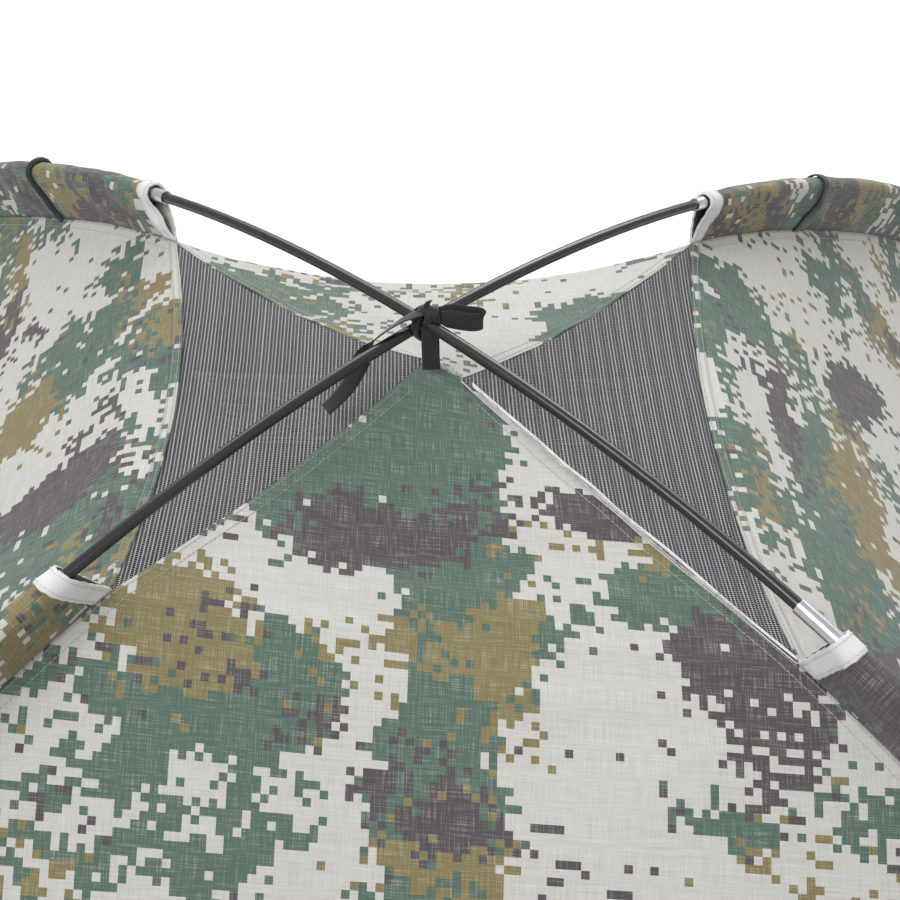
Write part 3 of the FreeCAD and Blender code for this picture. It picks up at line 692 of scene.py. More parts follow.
def make_light():
    """A white studio: a key, a back light, and two that keep the floor white."""
    world = bpy.data.worlds.new("studio")
    world.use_nodes = True
    backdrop = world.node_tree.nodes["Background"]
    backdrop.inputs["Color"].default_value = (1.0, 1.0, 1.0, 1)
    backdrop.inputs["Strength"].default_value = 0.57
    bpy.context.scene.world = world
    bpy.context.scene.view_settings.view_transform = "Standard"
    area_light("key_light", (-1.9, -1.6, 4.4), (0, 0, 1.0), (2.6, 1.4), 78)
    area_light("back_light", (1.6, 3.4, 3.6), (0, 0, 1.1), (3.4, 1.2), 55)
    area_light("floor_light_front", (0, -4.5, 5.0), (0, -2.5, 0), (5.0, 5.0), 100)
    area_light("floor_light_back", (0, 5.0, 5.0), (0, 3.0, 0), (6.0, 4.0), 210)


# ------------------------------------------------------------------ walls

COLUMNS = 120
# The cloth's thickness, and how far a turned hem lies above the cloth.
CLOTH = 0.0005
HEM_LIFT = 0.0009


def row_lengths(start, end):
    """Rows of cloth, close together near the crown and wider below."""
    lengths = [start]
    while lengths[-1] < end - 1e-6:
        step = 0.004 if lengths[-1] < 0.52 else blend(0.004, 0.013, smooth(0.52, 0.8, lengths[-1]))
        lengths.append(lengths[-1] + step)
    lengths[-1] = end
    return lengths


DOWN_STEPS = 260
DOWN_TABLE = {}


def down_cloth(side, length):
    """How far down the flat cloth a length is, measured along the side's middle."""
    if side not in DOWN_TABLE:
        table = [0.0]
        before = None
        for step in range(DOWN_STEPS + 1):
            low, high, outward, _, sag = wall_row(side, WALL_END * step / DOWN_STEPS)
            here = (low + high) / 2 - outward * sag
            if before is not None:
                table.append(table[-1] + (here - before).length)
            before = here
        DOWN_TABLE[side] = table
    table = DOWN_TABLE[side]
    place = min(DOWN_STEPS - 1e-6, length / WALL_END * DOWN_STEPS)
    index = int(place)
    return blend(table[index], table[index + 1], place - index)


def cloth_patch(name, side, top, bottom, material, lift=0.0, rows=None, painted_inner_shade=None):
    """Part of a side's cloth between two lengths. top and bottom are functions of the place across it."""
    points, uvs = [], []
    if rows is None:
        lengths = row_lengths(top(0.0), bottom(0.0))
        rows = [(length - lengths[0]) / (lengths[-1] - lengths[0]) for length in lengths]
    for share in rows:
        for column in range(COLUMNS + 1):
            across = blend(-1.0, 1.0, column / COLUMNS)
            length = blend(top(across), bottom(across), share)
            row = wall_row(side, length)
            points.append(wall_point(side, length, across, lift, row))
            uvs.append((across * row[3], down_cloth(side, length)))
    faces = grid_faces(len(rows), COLUMNS + 1)
    piece = new_piece(name, points, faces, material, "blind", uvs)
    bpy.context.view_layer.update()
    flip_outward(piece, SIDES[side][2])
    thicken(piece, CLOTH, painted_inner_shade=painted_inner_shade)
    return piece


def flip_outward(piece, facing):
    """Turn a sheet's faces so that they look the way its side does."""
    total = Vector((0, 0, 0))
    for face in piece.data.polygons:
        total += face.normal * face.area
    if total.dot(facing + UP * 0.3) < 0:
        piece.data.flip_normals()


def cut_away(piece, outline, depth_axis, low, high):
    """Cut a hole whose outline is given in the plane across depth_axis (0 is X, 1 is Y)."""
    points = []
    for level in (low, high):
        for side_value, height in outline:
            points.append((level, side_value, height) if depth_axis == 0 else (side_value, level, height))
    count = len(outline)
    faces = [tuple(range(count)), tuple(range(count, 2 * count))]
    faces += [(step, (step + 1) % count, count + (step + 1) % count, count + step) for step in range(count)]
    mesh = bpy.data.meshes.new("cutter")
    mesh.from_pydata(points, [], faces)
    work = bmesh.new()
    work.from_mesh(mesh)
    bmesh.ops.recalc_face_normals(work, faces=work.faces)
    work.to_mesh(mesh)
    work.free()
    cutter = bpy.data.objects.new("cutter", mesh)
    bpy.context.scene.collection.objects.link(cutter)
    cut = piece.modifiers.new("hole", "BOOLEAN")
    cut.operation = "DIFFERENCE"
    cut.solver = "EXACT"
    cut.object = cutter
    apply_modifiers(piece)
    bpy.data.objects.remove(cutter)
    bpy.data.meshes.remove(mesh)


def point_at(side, across_place, height, lift=0.0):
    """The point of a side's cloth straight behind a place in its front view.

    Gives its place on the flat cloth and the way out of the cloth there too."""
    sign = 1 if side in ("front", "right") else -1
    short, long = 0.05, WALL_END
    for _ in range(22):
        middle = (short + long) / 2
        row = wall_row(side, middle)
        half = abs((row[1] - row[0]).dot(Vector((1, 0, 0)))) / 2 or 1e-6
        across = max(-1.0, min(1.0, sign * across_place / half))
        if wall_point(side, middle, across, lift, row).z > height:
            short = middle
        else:
            long = middle
    row = wall_row(side, middle)
    return wall_point(side, middle, across, lift, row), (across * row[3], down_cloth(side, middle)), row[2]


def make_walls(cloth, painted_inner_shade):
    """The four walls. The front has its doorway cut out, and the back its window."""
    walls = {}
    for side in SIDES:
        top = (lambda a, s=side: border_length(s, a)) if side in NET_BOW else (lambda a: 0.0)
        walls[side] = cloth_patch("wall_cloth_" + side, side, top, lambda a: WALL_END, cloth[side],
                                  painted_inner_shade=painted_inner_shade)
    cut_away(walls["front"], arch_outline(DOOR_HALF_WIDTH, DOOR_SILL, 48), 1, -1.6, 0.0)
    window = [(-WINDOW_HALF, WINDOW_LOW), (WINDOW_HALF, WINDOW_LOW), (WINDOW_HALF, WINDOW_HIGH),
              (-WINDOW_HALF, WINDOW_HIGH)]
    cut_away(walls["back"], window, 1, 0.0, 1.6)
    for side, wall in walls.items():
        wall.data.shade_smooth()
        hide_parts("wall_" + side)
        width = 2 * wall_row(side, WALL_END)[3]
        down_cloth(side, WALL_END)


# ------------------------------------------------------------------ door and window

DOOR_HALF_WIDTH = 0.350
DOOR_SILL = 0.132
DOOR_SPRING = 0.590
# The door's height up its own slope.
DOOR_GAP = 0.0065
# How far a zip tape's two edges are from its own line.
TAPE_NEAR = 0.0029
TAPE_FAR = 0.009
WINDOW_HALF = 0.250
WINDOW_LOW = 0.560
WINDOW_HIGH = 0.790
FLAP_MARGIN = 0.024


def arch_outline(radius, sill, steps):
    """An upside-down U with a round top, as places across and heights, going up the right side first."""
    outline = [(-radius, sill), (radius, sill)]
    for step in range(steps + 1):
        turn = math.pi * step / steps
        outline.append((radius * math.cos(turn), DOOR_SPRING + radius * math.sin(turn)))
    return outline


def arch_path(inset, spacing, low):
    """Points of the doorway's edge on the front cloth, and the way out of the cloth at each.

    They run from its lower right corner round to its lower left."""
    radius = DOOR_HALF_WIDTH - inset
    legs = DOOR_SPRING - low
    total = 2 * legs + math.pi * radius
    count = int(total / spacing)
    path, outward = [], []
    for step in range(count + 1):
        run = total * step / count
        if run < legs:
            place = (radius, low + run)
        elif run > total - legs:
            place = (-radius, low + total - run)
        else:
            turn = (run - legs) / radius
            place = (radius * math.cos(turn), DOOR_SPRING + radius * math.sin(turn))
        point, _, out = point_at("front", place[0], place[1])
        path.append(point)
        outward.append(out)
    return path, outward


def facing_grid(name, side, rows, material, body, lift, replaced=None):
    """Cloth over an area that is given in the side's front view.

    rows hold a height and the places across there."""
    points, uvs = [], []
    for height, places in rows:
        for place in places:
            point, flat, _ = point_at(side, place, height, lift)
            points.append(point)
            uvs.append(flat)
    piece = new_piece(name, points, grid_faces(len(rows), len(rows[0][1])), material, body, uvs)
    flip_outward(piece, SIDES[side][2])
    thicken(piece, CLOTH)
    if replaced:
        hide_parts(replaced)
    return piece


def make_door(cloth, tape, teeth_metal, thread):
    """The door cloth, its sill hem, and the two halves of the coil zip round its arch."""
    radius = DOOR_HALF_WIDTH - DOOR_GAP
    rows = []
    leg_steps = 20
    arch_steps = 24
    for step in range(leg_steps + arch_steps + 1):
        if step < leg_steps:
            height = blend(DOOR_SILL, DOOR_SPRING, step / leg_steps)
            half = radius
        else:
            turn = math.pi / 2 * (step - leg_steps) / arch_steps
            height = DOOR_SPRING + radius * math.sin(turn)
            half = max(0.004, radius * math.cos(turn))
        rows.append((height, [blend(-half, half, column / 48) for column in range(49)]))
    door = facing_grid("door_cloth", "front", rows, cloth["front"], "door", 0.0, replaced="door_panel")

    hem_rows = [(DOOR_SILL + 0.024 * step / 4, [blend(-radius, radius, c / 60) for c in range(61)])
                for step in range(5)]
    hem = facing_grid("door_hem", "front", hem_rows, cloth["front"], "door", HEM_LIFT)

    for name, inset, body, node in (("zip_tape_wall", 0.0002, "blind", "zip_chain_wall"),
                                    ("zip_tape_door", 0.0063, "door", "zip_chain_door")):
        way = 1 if body == "blind" else -1
        inner, outward = arch_path(inset + way * TAPE_NEAR, 0.006, DOOR_SILL + 0.006)
        outer, _ = arch_path(inset - way * TAPE_FAR, 0.006, DOOR_SILL + 0.006)
        path, half = [], []
        for place, point in enumerate(inner):
            share = place / (len(inner) - 1) * (len(outer) - 1)
            low = int(share)
            other = outer[low].lerp(outer[min(low + 1, len(outer) - 1)], share - low)
            path.append((point + other) / 2 + outward[place] * 0.0013)
            half.append((other - point) / 2)
        points, faces = ribbon_mesh(path, half, 0.0009, 3)
        strip = new_piece(name, points, faces, tape, body)
        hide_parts(node)
        parts = stitch_parts([p + o * 0.0006 for p, o in zip(path, outward)], outward)
        points, faces = joined(parts)
        stitches = new_piece(name + "_stitches", points, faces, thread, body)

        spread = 0.0013 if body == "blind" else 0.0053
        coil, outward = arch_path(spread, 0.0026, DOOR_SILL + 0.010)
        middle, _ = arch_path(0.0033, 0.0026, DOOR_SILL + 0.010)
        parts = []
        for place in range(1, min(len(coil), len(middle)) - 1):
            share = place / (len(coil) - 1) * (len(middle) - 1)
            low = int(share)
            target = middle[low].lerp(middle[min(low + 1, len(middle) - 1)], share - low)
            lift = outward[place] * 0.0022
            along = (coil[place + 1] - coil[place - 1]).normalized() * 0.0005
            shift = along * (1.3 if body == "door" else 0)
            start = coil[place] + lift + shift
            end = start.lerp(target + lift, 0.86)
            parts.append(tube_mesh([start, start.lerp(end, 0.5) + outward[place] * 0.0005, end],
                                   [0.0006, 0.0008, 0.0006], sides=5))
        points, faces = joined(parts)
        teeth = new_piece(name.replace("tape", "teeth"), points, faces, teeth_metal, body)


def make_window(cloth, net, grip, thread):
    """The window's net inside its hole, and the flap that closes it from outside."""
    points, faces = net_mesh(2 * WINDOW_HALF + 0.02, WINDOW_HIGH - WINDOW_LOW + 0.02, 0.0044)
    spots = []
    for x, y, depth in points:
        spots.append(window_point(x, WINDOW_LOW - 0.01 + y) - Vector((0, depth, 0)))
    window = new_piece("window_net", spots, faces, net)
    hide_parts("window_mesh")

    low, high = WINDOW_LOW - FLAP_MARGIN, WINDOW_HIGH + FLAP_MARGIN
    half = WINDOW_HALF + FLAP_MARGIN
    rows = [(blend(low, high, step / 26), [blend(-half, half, c / 48) for c in range(49)])
            for step in range(27)]
    flap = facing_grid("window_flap_cloth", "back", rows, cloth["back"], "window_flap", 0.0030,
                       replaced="window_flap")
    for name, body, lift, node in (("grip_hooks", "window_flap", 0.0023, "flap_grip_strip"),
                                   ("grip_loops", "blind", 0.0010, "wall_grip_strip")):
        rows = [(blend(high - 0.020, high - 0.002, step / 4), [blend(-half + 0.01, half - 0.01, c / 60)
                                                             for c in range(61)]) for step in range(5)]
        strip = facing_grid(name, "back", rows, grip, body, lift, replaced=node)
    parts = []
    for inset in (0.004, 0.012):
        for corner_from, corner_to in (((-half + inset, low + inset), (half - inset, low + inset)),
                                       ((half - inset, low + inset), (half - inset, high - inset)),
                                       ((half - inset, high - inset), (-half + inset, high - inset)),
                                       ((-half + inset, high - inset), (-half + inset, low + inset))):
            path, normals = [], []
            for step in range(41):
                x = blend(corner_from[0], corner_to[0], step / 40)
                z = blend(corner_from[1], corner_to[1], step / 40)
                point, _, out = point_at("back", x, z, 0.0031)
                path.append(point)
                normals.append(out)
            parts += stitch_parts(path, normals)
    points, faces = joined(parts)
    stitches = new_piece("window_flap_stitches", points, faces, thread, "window_flap")


# ------------------------------------------------------------------ nets

# Roof net: hole pitch across the net, and how far the knit is drawn out down the slope.
NET_CELL = 0.00165
NET_DRAW = 1.62
# How wide a hole is, as a share of its cell.
NET_HOLE = 0.80
WINDOW_GRID = {}


def net_mesh(width, height, pitch, inside=None, draw=1.0):
    """Knitted net on a flat area: rings of yarn round six-sided holes, drawn out down the net.

    inside says which places are kept. Each point is its place on the flat net and its depth below the net's
    face. The yarn has a keel: it slopes back under itself, so that it has depth and the holes stay open."""
    radius = pitch / math.sqrt(3)
    ridge = 0.02 * pitch
    keel = 0.11 * pitch
    points, faces, places = [], [], {}

    def corner(x, y, depth):
        key = (round(x / pitch * 24), round(y / pitch * 24), depth)
        if key not in places:
            places[key] = len(points)
            points.append((x, y, depth))
        return places[key]

    rows = int(height / (1.5 * radius * draw)) + 2
    columns = int(width / pitch) + 2
    for row in range(rows):
        for column in range(-columns // 2, columns // 2 + 1):
            x = (column + (row % 2) * 0.5) * pitch
            y = row * 1.5 * radius * draw
            if abs(x) > width / 2 or y > height or (inside and not inside(x, y)):
                continue
            outer, inner, under = [], [], []
            for step in range(6):
                turn = math.pi / 6 + math.pi / 3 * step
                way = (radius * math.cos(turn), radius * draw * math.sin(turn))
                outer.append(corner(x + way[0], y + way[1], 0.0))
                inner.append(len(points))
                points.append((x + way[0] * NET_HOLE, y + way[1] * NET_HOLE, ridge))
                under.append(corner(x + way[0], y + way[1], keel))
            for step in range(6):
                beside = (step + 1) % 6
                faces.append((outer[step], outer[beside], inner[beside], inner[step]))
                faces.append((inner[step], inner[beside], under[beside], under[step]))
    return points, faces


def window_point(x, z):
    """A smooth reading of the back cloth over its window, from a coarse grid."""
    if not WINDOW_GRID:
        for column in range(29):
            for row in range(15):
                WINDOW_GRID[column, row] = point_at("back", blend(-0.28, 0.28, column / 28),
                                                    blend(0.53, 0.82, row / 14), -0.0012)[0]
    u = (x + 0.28) / 0.56 * 28
    v = (z - 0.53) / 0.29 * 14
    column, row = min(27, int(u)), min(13, int(v))
    low = WINDOW_GRID[column, row].lerp(WINDOW_GRID[column + 1, row], u - column)
    high = WINDOW_GRID[column, row + 1].lerp(WINDOW_GRID[column + 1, row + 1], u - column)
    return low.lerp(high, v - row)


def make_roof_net(side, net):
    """The net triangle between the crown and a side wall, as real yarn."""
    slope = down_cloth(side, mouth_mean(side)) / mouth_mean(side)
    tall = slope * (mouth_mean(side) + 0.002)
    half_wide = wall_row(side, mouth_mean(side))[3]

    def across_at(x, y):
        length = y / slope
        return x / max(1e-6, wall_row_width(side, length))

    def inside(x, y):
        length = y / slope
        across = across_at(x, y)
        return abs(across) < 1.0 and length < border_length(side, across) + 0.005

    flat, faces = net_mesh(2 * half_wide, tall, NET_CELL, inside, draw=NET_DRAW)
    rows = {}
    spots = []
    for x, y, depth in flat:
        length = max(0.0008, y / slope)
        key = round(length * 2000)
        if key not in rows:
            rows[key] = wall_row(side, key / 2000)
        across = max(-1.0, min(1.0, across_at(x, y)))
        row = rows[key]
        across += 0.00035 / max(0.01, row[3]) * noise.noise(Vector((x * 45, y * 45, 9.0)))
        slack = 0.0016 * noise.noise(Vector((x * 22, y * 22, 4.0)))
        loose = 1 - across * across
        below = row[4] * loose + 0.0004 + depth - slack * loose
        spots.append(row[0].lerp(row[1], (across + 1) / 2) - row[2] * below)
    piece = new_piece("roof_net_" + side, spots, faces, net)
    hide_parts("roof_mesh_" + side)


WIDTH_TABLE = {}


def wall_row_width(side, length):
    """A side's half-width at a length down it, kept so that it isn't worked out again."""
    key = (side, round(length * 4000))
    if key not in WIDTH_TABLE:
        WIDTH_TABLE[key] = wall_row(side, max(0.0003, key[1] / 4000))[3]
    return WIDTH_TABLE[key]


def wall_hem(name, side, start, width, material, thread):
    """A turned hem across a wall: a second layer of cloth with two rows of stitches."""
    hem = cloth_patch(name, side, start, lambda a: start(a) + width, material, HEM_LIFT,
                      [step / 5 for step in range(6)])
    parts = []
    for inset in (0.0022, width - 0.0022):
        path, normals = [], []
        for column in range(241):
            across = -0.995 + 1.99 * column / 240
            length = start(across) + inset
            row = wall_row(side, length)
            path.append(wall_point(side, length, across, HEM_LIFT + 0.0002, row))
            normals.append(row[2])
        parts += stitch_parts(path, normals)
    points, faces = joined(parts)
    stitches = new_piece(name + "_stitches", points, faces, thread)


def make_hip_stitches(side, thread):
    """Two rows of stitches along both hips of a side: one at the seam, one inside the seam allowance."""
    parts = []
    end = WALL_END - 0.004
    for way in (-1, 1):
        for inset in (0.003, 0.0105):
            path, normals = [], []
            start = 0.03 if side in ("front", "back") else border_length(side, 0.99) + 0.004
            length = start
            while length < end:
                row = wall_row(side, length)
                across = way * (1 - inset / row[3])
                path.append(wall_point(side, length, across, 0.0001, row))
                normals.append(row[2])
                length += 0.006
                if inset > 0.005 and length > 0.95:
                    break
            parts += stitch_parts(path, normals)
    points, faces = joined(parts)
    stitches = new_piece("hip_stitches_" + side, points, faces, thread)


# ------------------------------------------------------------------ sleeves

SLEEVE_TOP = 0.0062
BAND_WIDTH = 0.0135
# How far the white band stands out past the sleeve's mouth, and the seam there above the walls' seam.
BAND_OVERHANG = 0.0012
MOUTH_RAISED = 0.0006


def sleeve_outline(depth, top):
    """A loop of cloth over the pole, pinched to a seam below it.

    Gives the lengths of the straight part and of the arc, on one side of the pole."""
    tangent = math.sqrt(depth * depth - top * top)
    arc = top * (math.pi - math.acos(top / depth))
    return tangent, arc


def sleeve_place(depth, top, share):
    """A place on the outline, across and out of the pole, and the way out of the cloth there.

    share runs from -1 at the seam, over the pole, to 1 at the seam again."""
    tangent, arc = sleeve_outline(depth, top)
    run = abs(share) * (tangent + arc)
    sign = 1 if share >= 0 else -1
    if run <= arc:
        turn = run / top
        return sign * top * math.sin(turn), top * math.cos(turn), (sign * math.sin(turn), math.cos(turn))
    turn = arc / top
    start = (top * math.sin(turn), top * math.cos(turn))
    part = (run - arc) / tangent
    across = sign * blend(start[0], 0, part)
    return across, blend(start[1], -depth, part), (sign * math.sin(turn), math.cos(turn))


def sleeve_start(corner, out):
    """The length down the pole of the sleeve's slanting mouth, at a height over the pole's middle."""
    facts = CORNERS[corner]
    share = min(1.0, max(0.0, (SLEEVE_TOP - out) / (SLEEVE_TOP + facts["drop"])))
    return blend(facts["top"], facts["low"], share)


def sleeve_point(corner, length, share, lift=0.0, depth=None):
    """A point of a sleeve's cloth, with the puckers that its gathering makes."""
    facts = CORNERS[corner]
    if depth is None:
        depth = blend(facts["drop"], SEAM_DROP, smooth(facts["low"], facts["low"] + SEAM_SETTLES, length))
        depth += blend(-MOUTH_RAISED, 0.0012, smooth(facts["low"], facts["low"] + 0.05, length))
    across, out, way = sleeve_place(depth, SLEEVE_TOP, share)
    # The puckers and the swell are strongest half way down each side, and end over the pole, at the seam
    # and at the foot. The swell ends at the mouth too.
    seed = list(CORNERS).index(corner) * 5.1
    down = length - facts["low"]
    belly = math.sin(math.pi * min(1.0, abs(share))) ** 0.8
    sign = 1 if share >= 0 else -1
    pucker = 0.0021 * noise.noise(Vector((length * 34, share * 2.2 + seed, seed)))
    pucker += 0.0012 * noise.noise(Vector((length * 95 + share * 6, share * 3, seed + 8)))
    slant = math.sin((length * 60 + sign * abs(share) * 4.5 + seed) * 1.7)
    pucker += 0.0017 * slant * (0.4 + noise.noise(Vector((length * 9, seed, 2.0))))
    swell = 0.0030 * smooth(0.0, 0.05, down) * (0.7 + 0.6 * noise.noise(Vector((length * 4.5, seed, sign))))
    foot = 1 - smooth(1.85, 1.95, length)
    lift += (pucker + swell) * belly * foot
    point, outward, _, sideways = pole_frame(corner, length)
    return point + sideways * (across + way[0] * lift) + outward * (out + way[1] * lift)


def outline_out(corner, share):
    """How far above or below the pole's middle a place on the sleeve's mouth is."""
    facts = CORNERS[corner]
    return sleeve_place(facts["drop"] - MOUTH_RAISED, SLEEVE_TOP, share)[1]


def make_sleeve(corner, cloth, tape, thread):
    """A pole sleeve with a slanting mouth, and its stitched white band."""
    shares = [-1 + 2 * step / 34 for step in range(35)]
    starts = [sleeve_start(corner, outline_out(corner, share)) for share in shares]
    lengths = [0.0]
    while lengths[-1] < 1.0:
        lengths.append(lengths[-1] + (0.0022 if lengths[-1] < 0.3 else 0.0060))
    lengths[-1] = 1.0
    points, uvs = [], []
    for along in lengths:
        for share, start in zip(shares, starts):
            length = blend(start, SLEEVE_END, along)
            points.append(sleeve_point(corner, length, share))
            uvs.append((share * 0.048 + 3.1 + list(CORNERS).index(corner), length))
    faces = grid_faces(len(lengths), len(shares))
    piece = new_piece("sleeve_cloth_" + corner, points, faces, cloth, "blind", uvs)
    orient_sleeve(piece)
    thicken(piece, 0.0006)
    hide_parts("sleeve_" + corner)

    points = []
    rows = [0.0, 0.0, 0.12, 0.3, 0.5, 0.7, 0.88, 1.0]
    for place, along in enumerate(rows):
        for share, start in zip(shares, starts):
            edge = -0.0006 if place == 0 else (0.0010 if 0 < place < len(rows) - 1 else 0.0006)
            length = start - BAND_OVERHANG + BAND_WIDTH * along + 0.0003 * math.sin(share * 40)
            points.append(sleeve_point(corner, length, share, edge, CORNERS[corner]["drop"] - MOUTH_RAISED))
    band = new_piece("mouth_band_" + corner, points, grid_faces(len(rows), len(shares)), tape)
    orient_sleeve(band)
    thicken(band, 0.0005)
    parts = []
    for inset in (0.0022, 0.0112):
        path, normals = [], []
        for step in range(161):
            share = -0.99 + 1.98 * step / 160
            start = sleeve_start(corner, outline_out(corner, share))
            depth = CORNERS[corner]["drop"] - MOUTH_RAISED
            path.append(sleeve_point(corner, start + inset - BAND_OVERHANG, share, 0.0012, depth))
            nearby = sleeve_point(corner, start + inset - BAND_OVERHANG, share, 0.0022, depth)
            normals.append(nearby - path[-1])
        parts += stitch_parts(path, normals, 0.0027, 0.0020, 0.00022)
    points, faces = joined(parts)
    stitches = new_piece("mouth_band_stitches_" + corner, points, faces, thread)


def orient_sleeve(piece):
    """Make the sleeve's faces look away from its pole."""
    total = 0.0
    for face in piece.data.polygons:
        if face.normal.z > 0.7:
            total += face.area
        elif face.normal.z < -0.7:
            total -= face.area
    if total < 0:
        piece.data.flip_normals()


LOOP_PLACES = {"back_left": 0.415, "back_right": 0.440, "front_left": 0.405, "front_right": 0.462}


def make_elastic_loop(corner, rubber, flat):
    """Elastic round the pole and sleeve: a ring of cord, or a flat band."""
    length = LOOP_PLACES[corner]
    half = 0.0040 if flat else 0.0
    rows = []
    for along in ((-1, -0.6, 0, 0.6, 1) if flat else (0,)):
        ring = []
        for step in range(40):
            share = -1 + 2 * step / 39
            slant = 0.011 * share * share
            ring.append(sleeve_point(corner, length + half * along - slant, share, 0.0016))
        rows.append(ring)
    if flat:
        points = [p for ring in rows for p in ring]
        piece = new_piece("elastic_loop_" + corner, points, grid_faces(len(rows), 40), rubber)
        orient_sleeve(piece)
        thicken(piece, 0.0012, 0.0)
    else:
        points, faces = tube_mesh(rows[0], 0.0025, 8)
        piece = new_piece("elastic_loop_" + corner, points, faces, rubber)


# ------------------------------------------------------------------ the crown's tape and tie

def hip_strip(name, corner, side, start, end, offsets, material, lift=0.0007, ragged=0.0, thickness=0.0006):
    """A strip along a crown seam.

    offsets hold each edge's distance into the side, at the strip's start and at its end."""
    left, _, _ = SIDES[side]
    way = -1 if corner == left else 1
    points, uvs = [], []
    count = max(8, int((end - start) / 0.0024))
    across_steps = 4
    for step in range(count + 1):
        share = step / count
        length = blend(start, end, share)
        row = wall_row(side, length)
        near, far = (blend(a, b, share) for a, b in offsets)
        for column in range(across_steps + 1):
            inset = blend(near, far, column / across_steps)
            if ragged and column in (0, across_steps):
                inset += ragged * noise.noise(Vector((length * 900, column, 3.0)))
            across = way * (1 - inset / max(0.002, row[3]))
            dome = lift * (0.6 + 0.6 * math.sin(math.pi * column / across_steps))
            if ragged:
                dome += 0.0005 * noise.noise(Vector((length * 500, column * 3.1, 8.0)))
            points.append(wall_point(side, length, across, dome, row))
            uvs.append((inset, length))
    piece = new_piece(name, points, grid_faces(count + 1, across_steps + 1), material, "blind", uvs)
    flip_outward(piece, SIDES[side][2])
    thicken(piece, thickness)
    return piece


FRAY_RADIUS = 0.00013


def fringe(name, path, normals, material, reach, count, seed):
    """Loose thread ends that stand out of a frayed edge."""
    rng = random.Random(seed)
    parts = []
    for _ in range(count):
        place = rng.uniform(0, len(path) - 1.001)
        low = int(place)
        start = path[low].lerp(path[low + 1], place - low)
        along = (path[low + 1] - path[low]).normalized()
        up = normals[low].normalized()
        out = along.cross(up).normalized()
        tip = start + out * rng.uniform(-reach, reach) + along * rng.uniform(-reach, reach) \
            + up * rng.uniform(0.0002, reach * 0.6)
        bend = start.lerp(tip, 0.5) + up * rng.uniform(0, reach * 0.5)
        parts.append(tube_mesh([start, bend, tip], FRAY_RADIUS, sides=4))
    points, faces = joined(parts)
    piece = new_piece(name, points, faces, material)


def make_crown_tape(tape, fray):
    """White binding on the net's edge of the crown's front right seam.

    The raw edge of the cloth frays beside it."""
    end = mouth_mean("right") - 0.002
    binding = hip_strip("crown_tape", "front_right", "right", 0.012, end,
                        ((0.0010, 0.0002), (0.0064, 0.0034)), tape, 0.0011)
    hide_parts("crown_seam_tape")
    end = mouth_mean("front") * 0.86
    edge = hip_strip("crown_frayed_edge", "front_right", "front", 0.016, end,
                     ((-0.0006, -0.0006), (0.0034, 0.0010)), fray, 0.0007, 0.0012, 0.0004)
    piping = hip_strip("crown_piping", "front_right", "front", 0.006, mouth_mean("front"),
                       ((0.0036, 0.0010), (0.0046, 0.0020)), tape, 0.0006)
    path, normals = [], []
    for step in range(90):
        length = blend(0.016, end, step / 89)
        row = wall_row("front", length)
        path.append(wall_point("front", length, 1 - 0.0012 / row[3], 0.0008, row))
        normals.append(row[2])
    fringe("crown_fray_threads", path, normals, fray, 0.0026, 420, 11)
    path = [APEX_LEFT.lerp(APEX_RIGHT, 0.25 + 0.75 * step / 8) + UP * 0.0010 for step in range(9)]
    fringe("apex_fray_threads", path, [UP] * 9, fray, 0.0028, 90, 12)


RIBBON_HALF = 0.00525
RIBBON_THICKNESS = 0.0009
CURVE_STEPS = 8
# The knot sits a little to the right of where the poles' middle lines cross.
TIE_PLACE = CROSSING + Vector((0.0038, 0, 0))


def flat_band(name, points, sides, material, tied_ends):
    """A ribbon through given points, with the way that its width lies at each.

    It is its full width except where it is bunched into the knot, at one end or at both."""
    path = smooth_path([Vector(p) * 0.001 + TIE_PLACE for p in points], CURVE_STEPS)
    ways = smooth_path([Vector(s) * 0.001 for s in sides], CURVE_STEPS)
    runs = [0.0]
    for start, end in zip(path, path[1:]):
        runs.append(runs[-1] + (end - start).length)
    half = []
    for place, way in enumerate(ways):
        along = (path[min(place + 1, len(path) - 1)] - path[max(place - 1, 0)]).normalized()
        across = (way - along * way.dot(along)).normalized()
        from_knot = runs[place] if tied_ends == 1 else min(runs[place], runs[-1] - runs[place])
        half.append(across * RIBBON_HALF * (0.5 + 0.5 * smooth(0.0, 0.010, from_knot)))
    ribbon_points, faces = ribbon_mesh(path, half, RIBBON_THICKNESS, 6)
    piece = new_piece(name, ribbon_points, faces, material)
    return piece


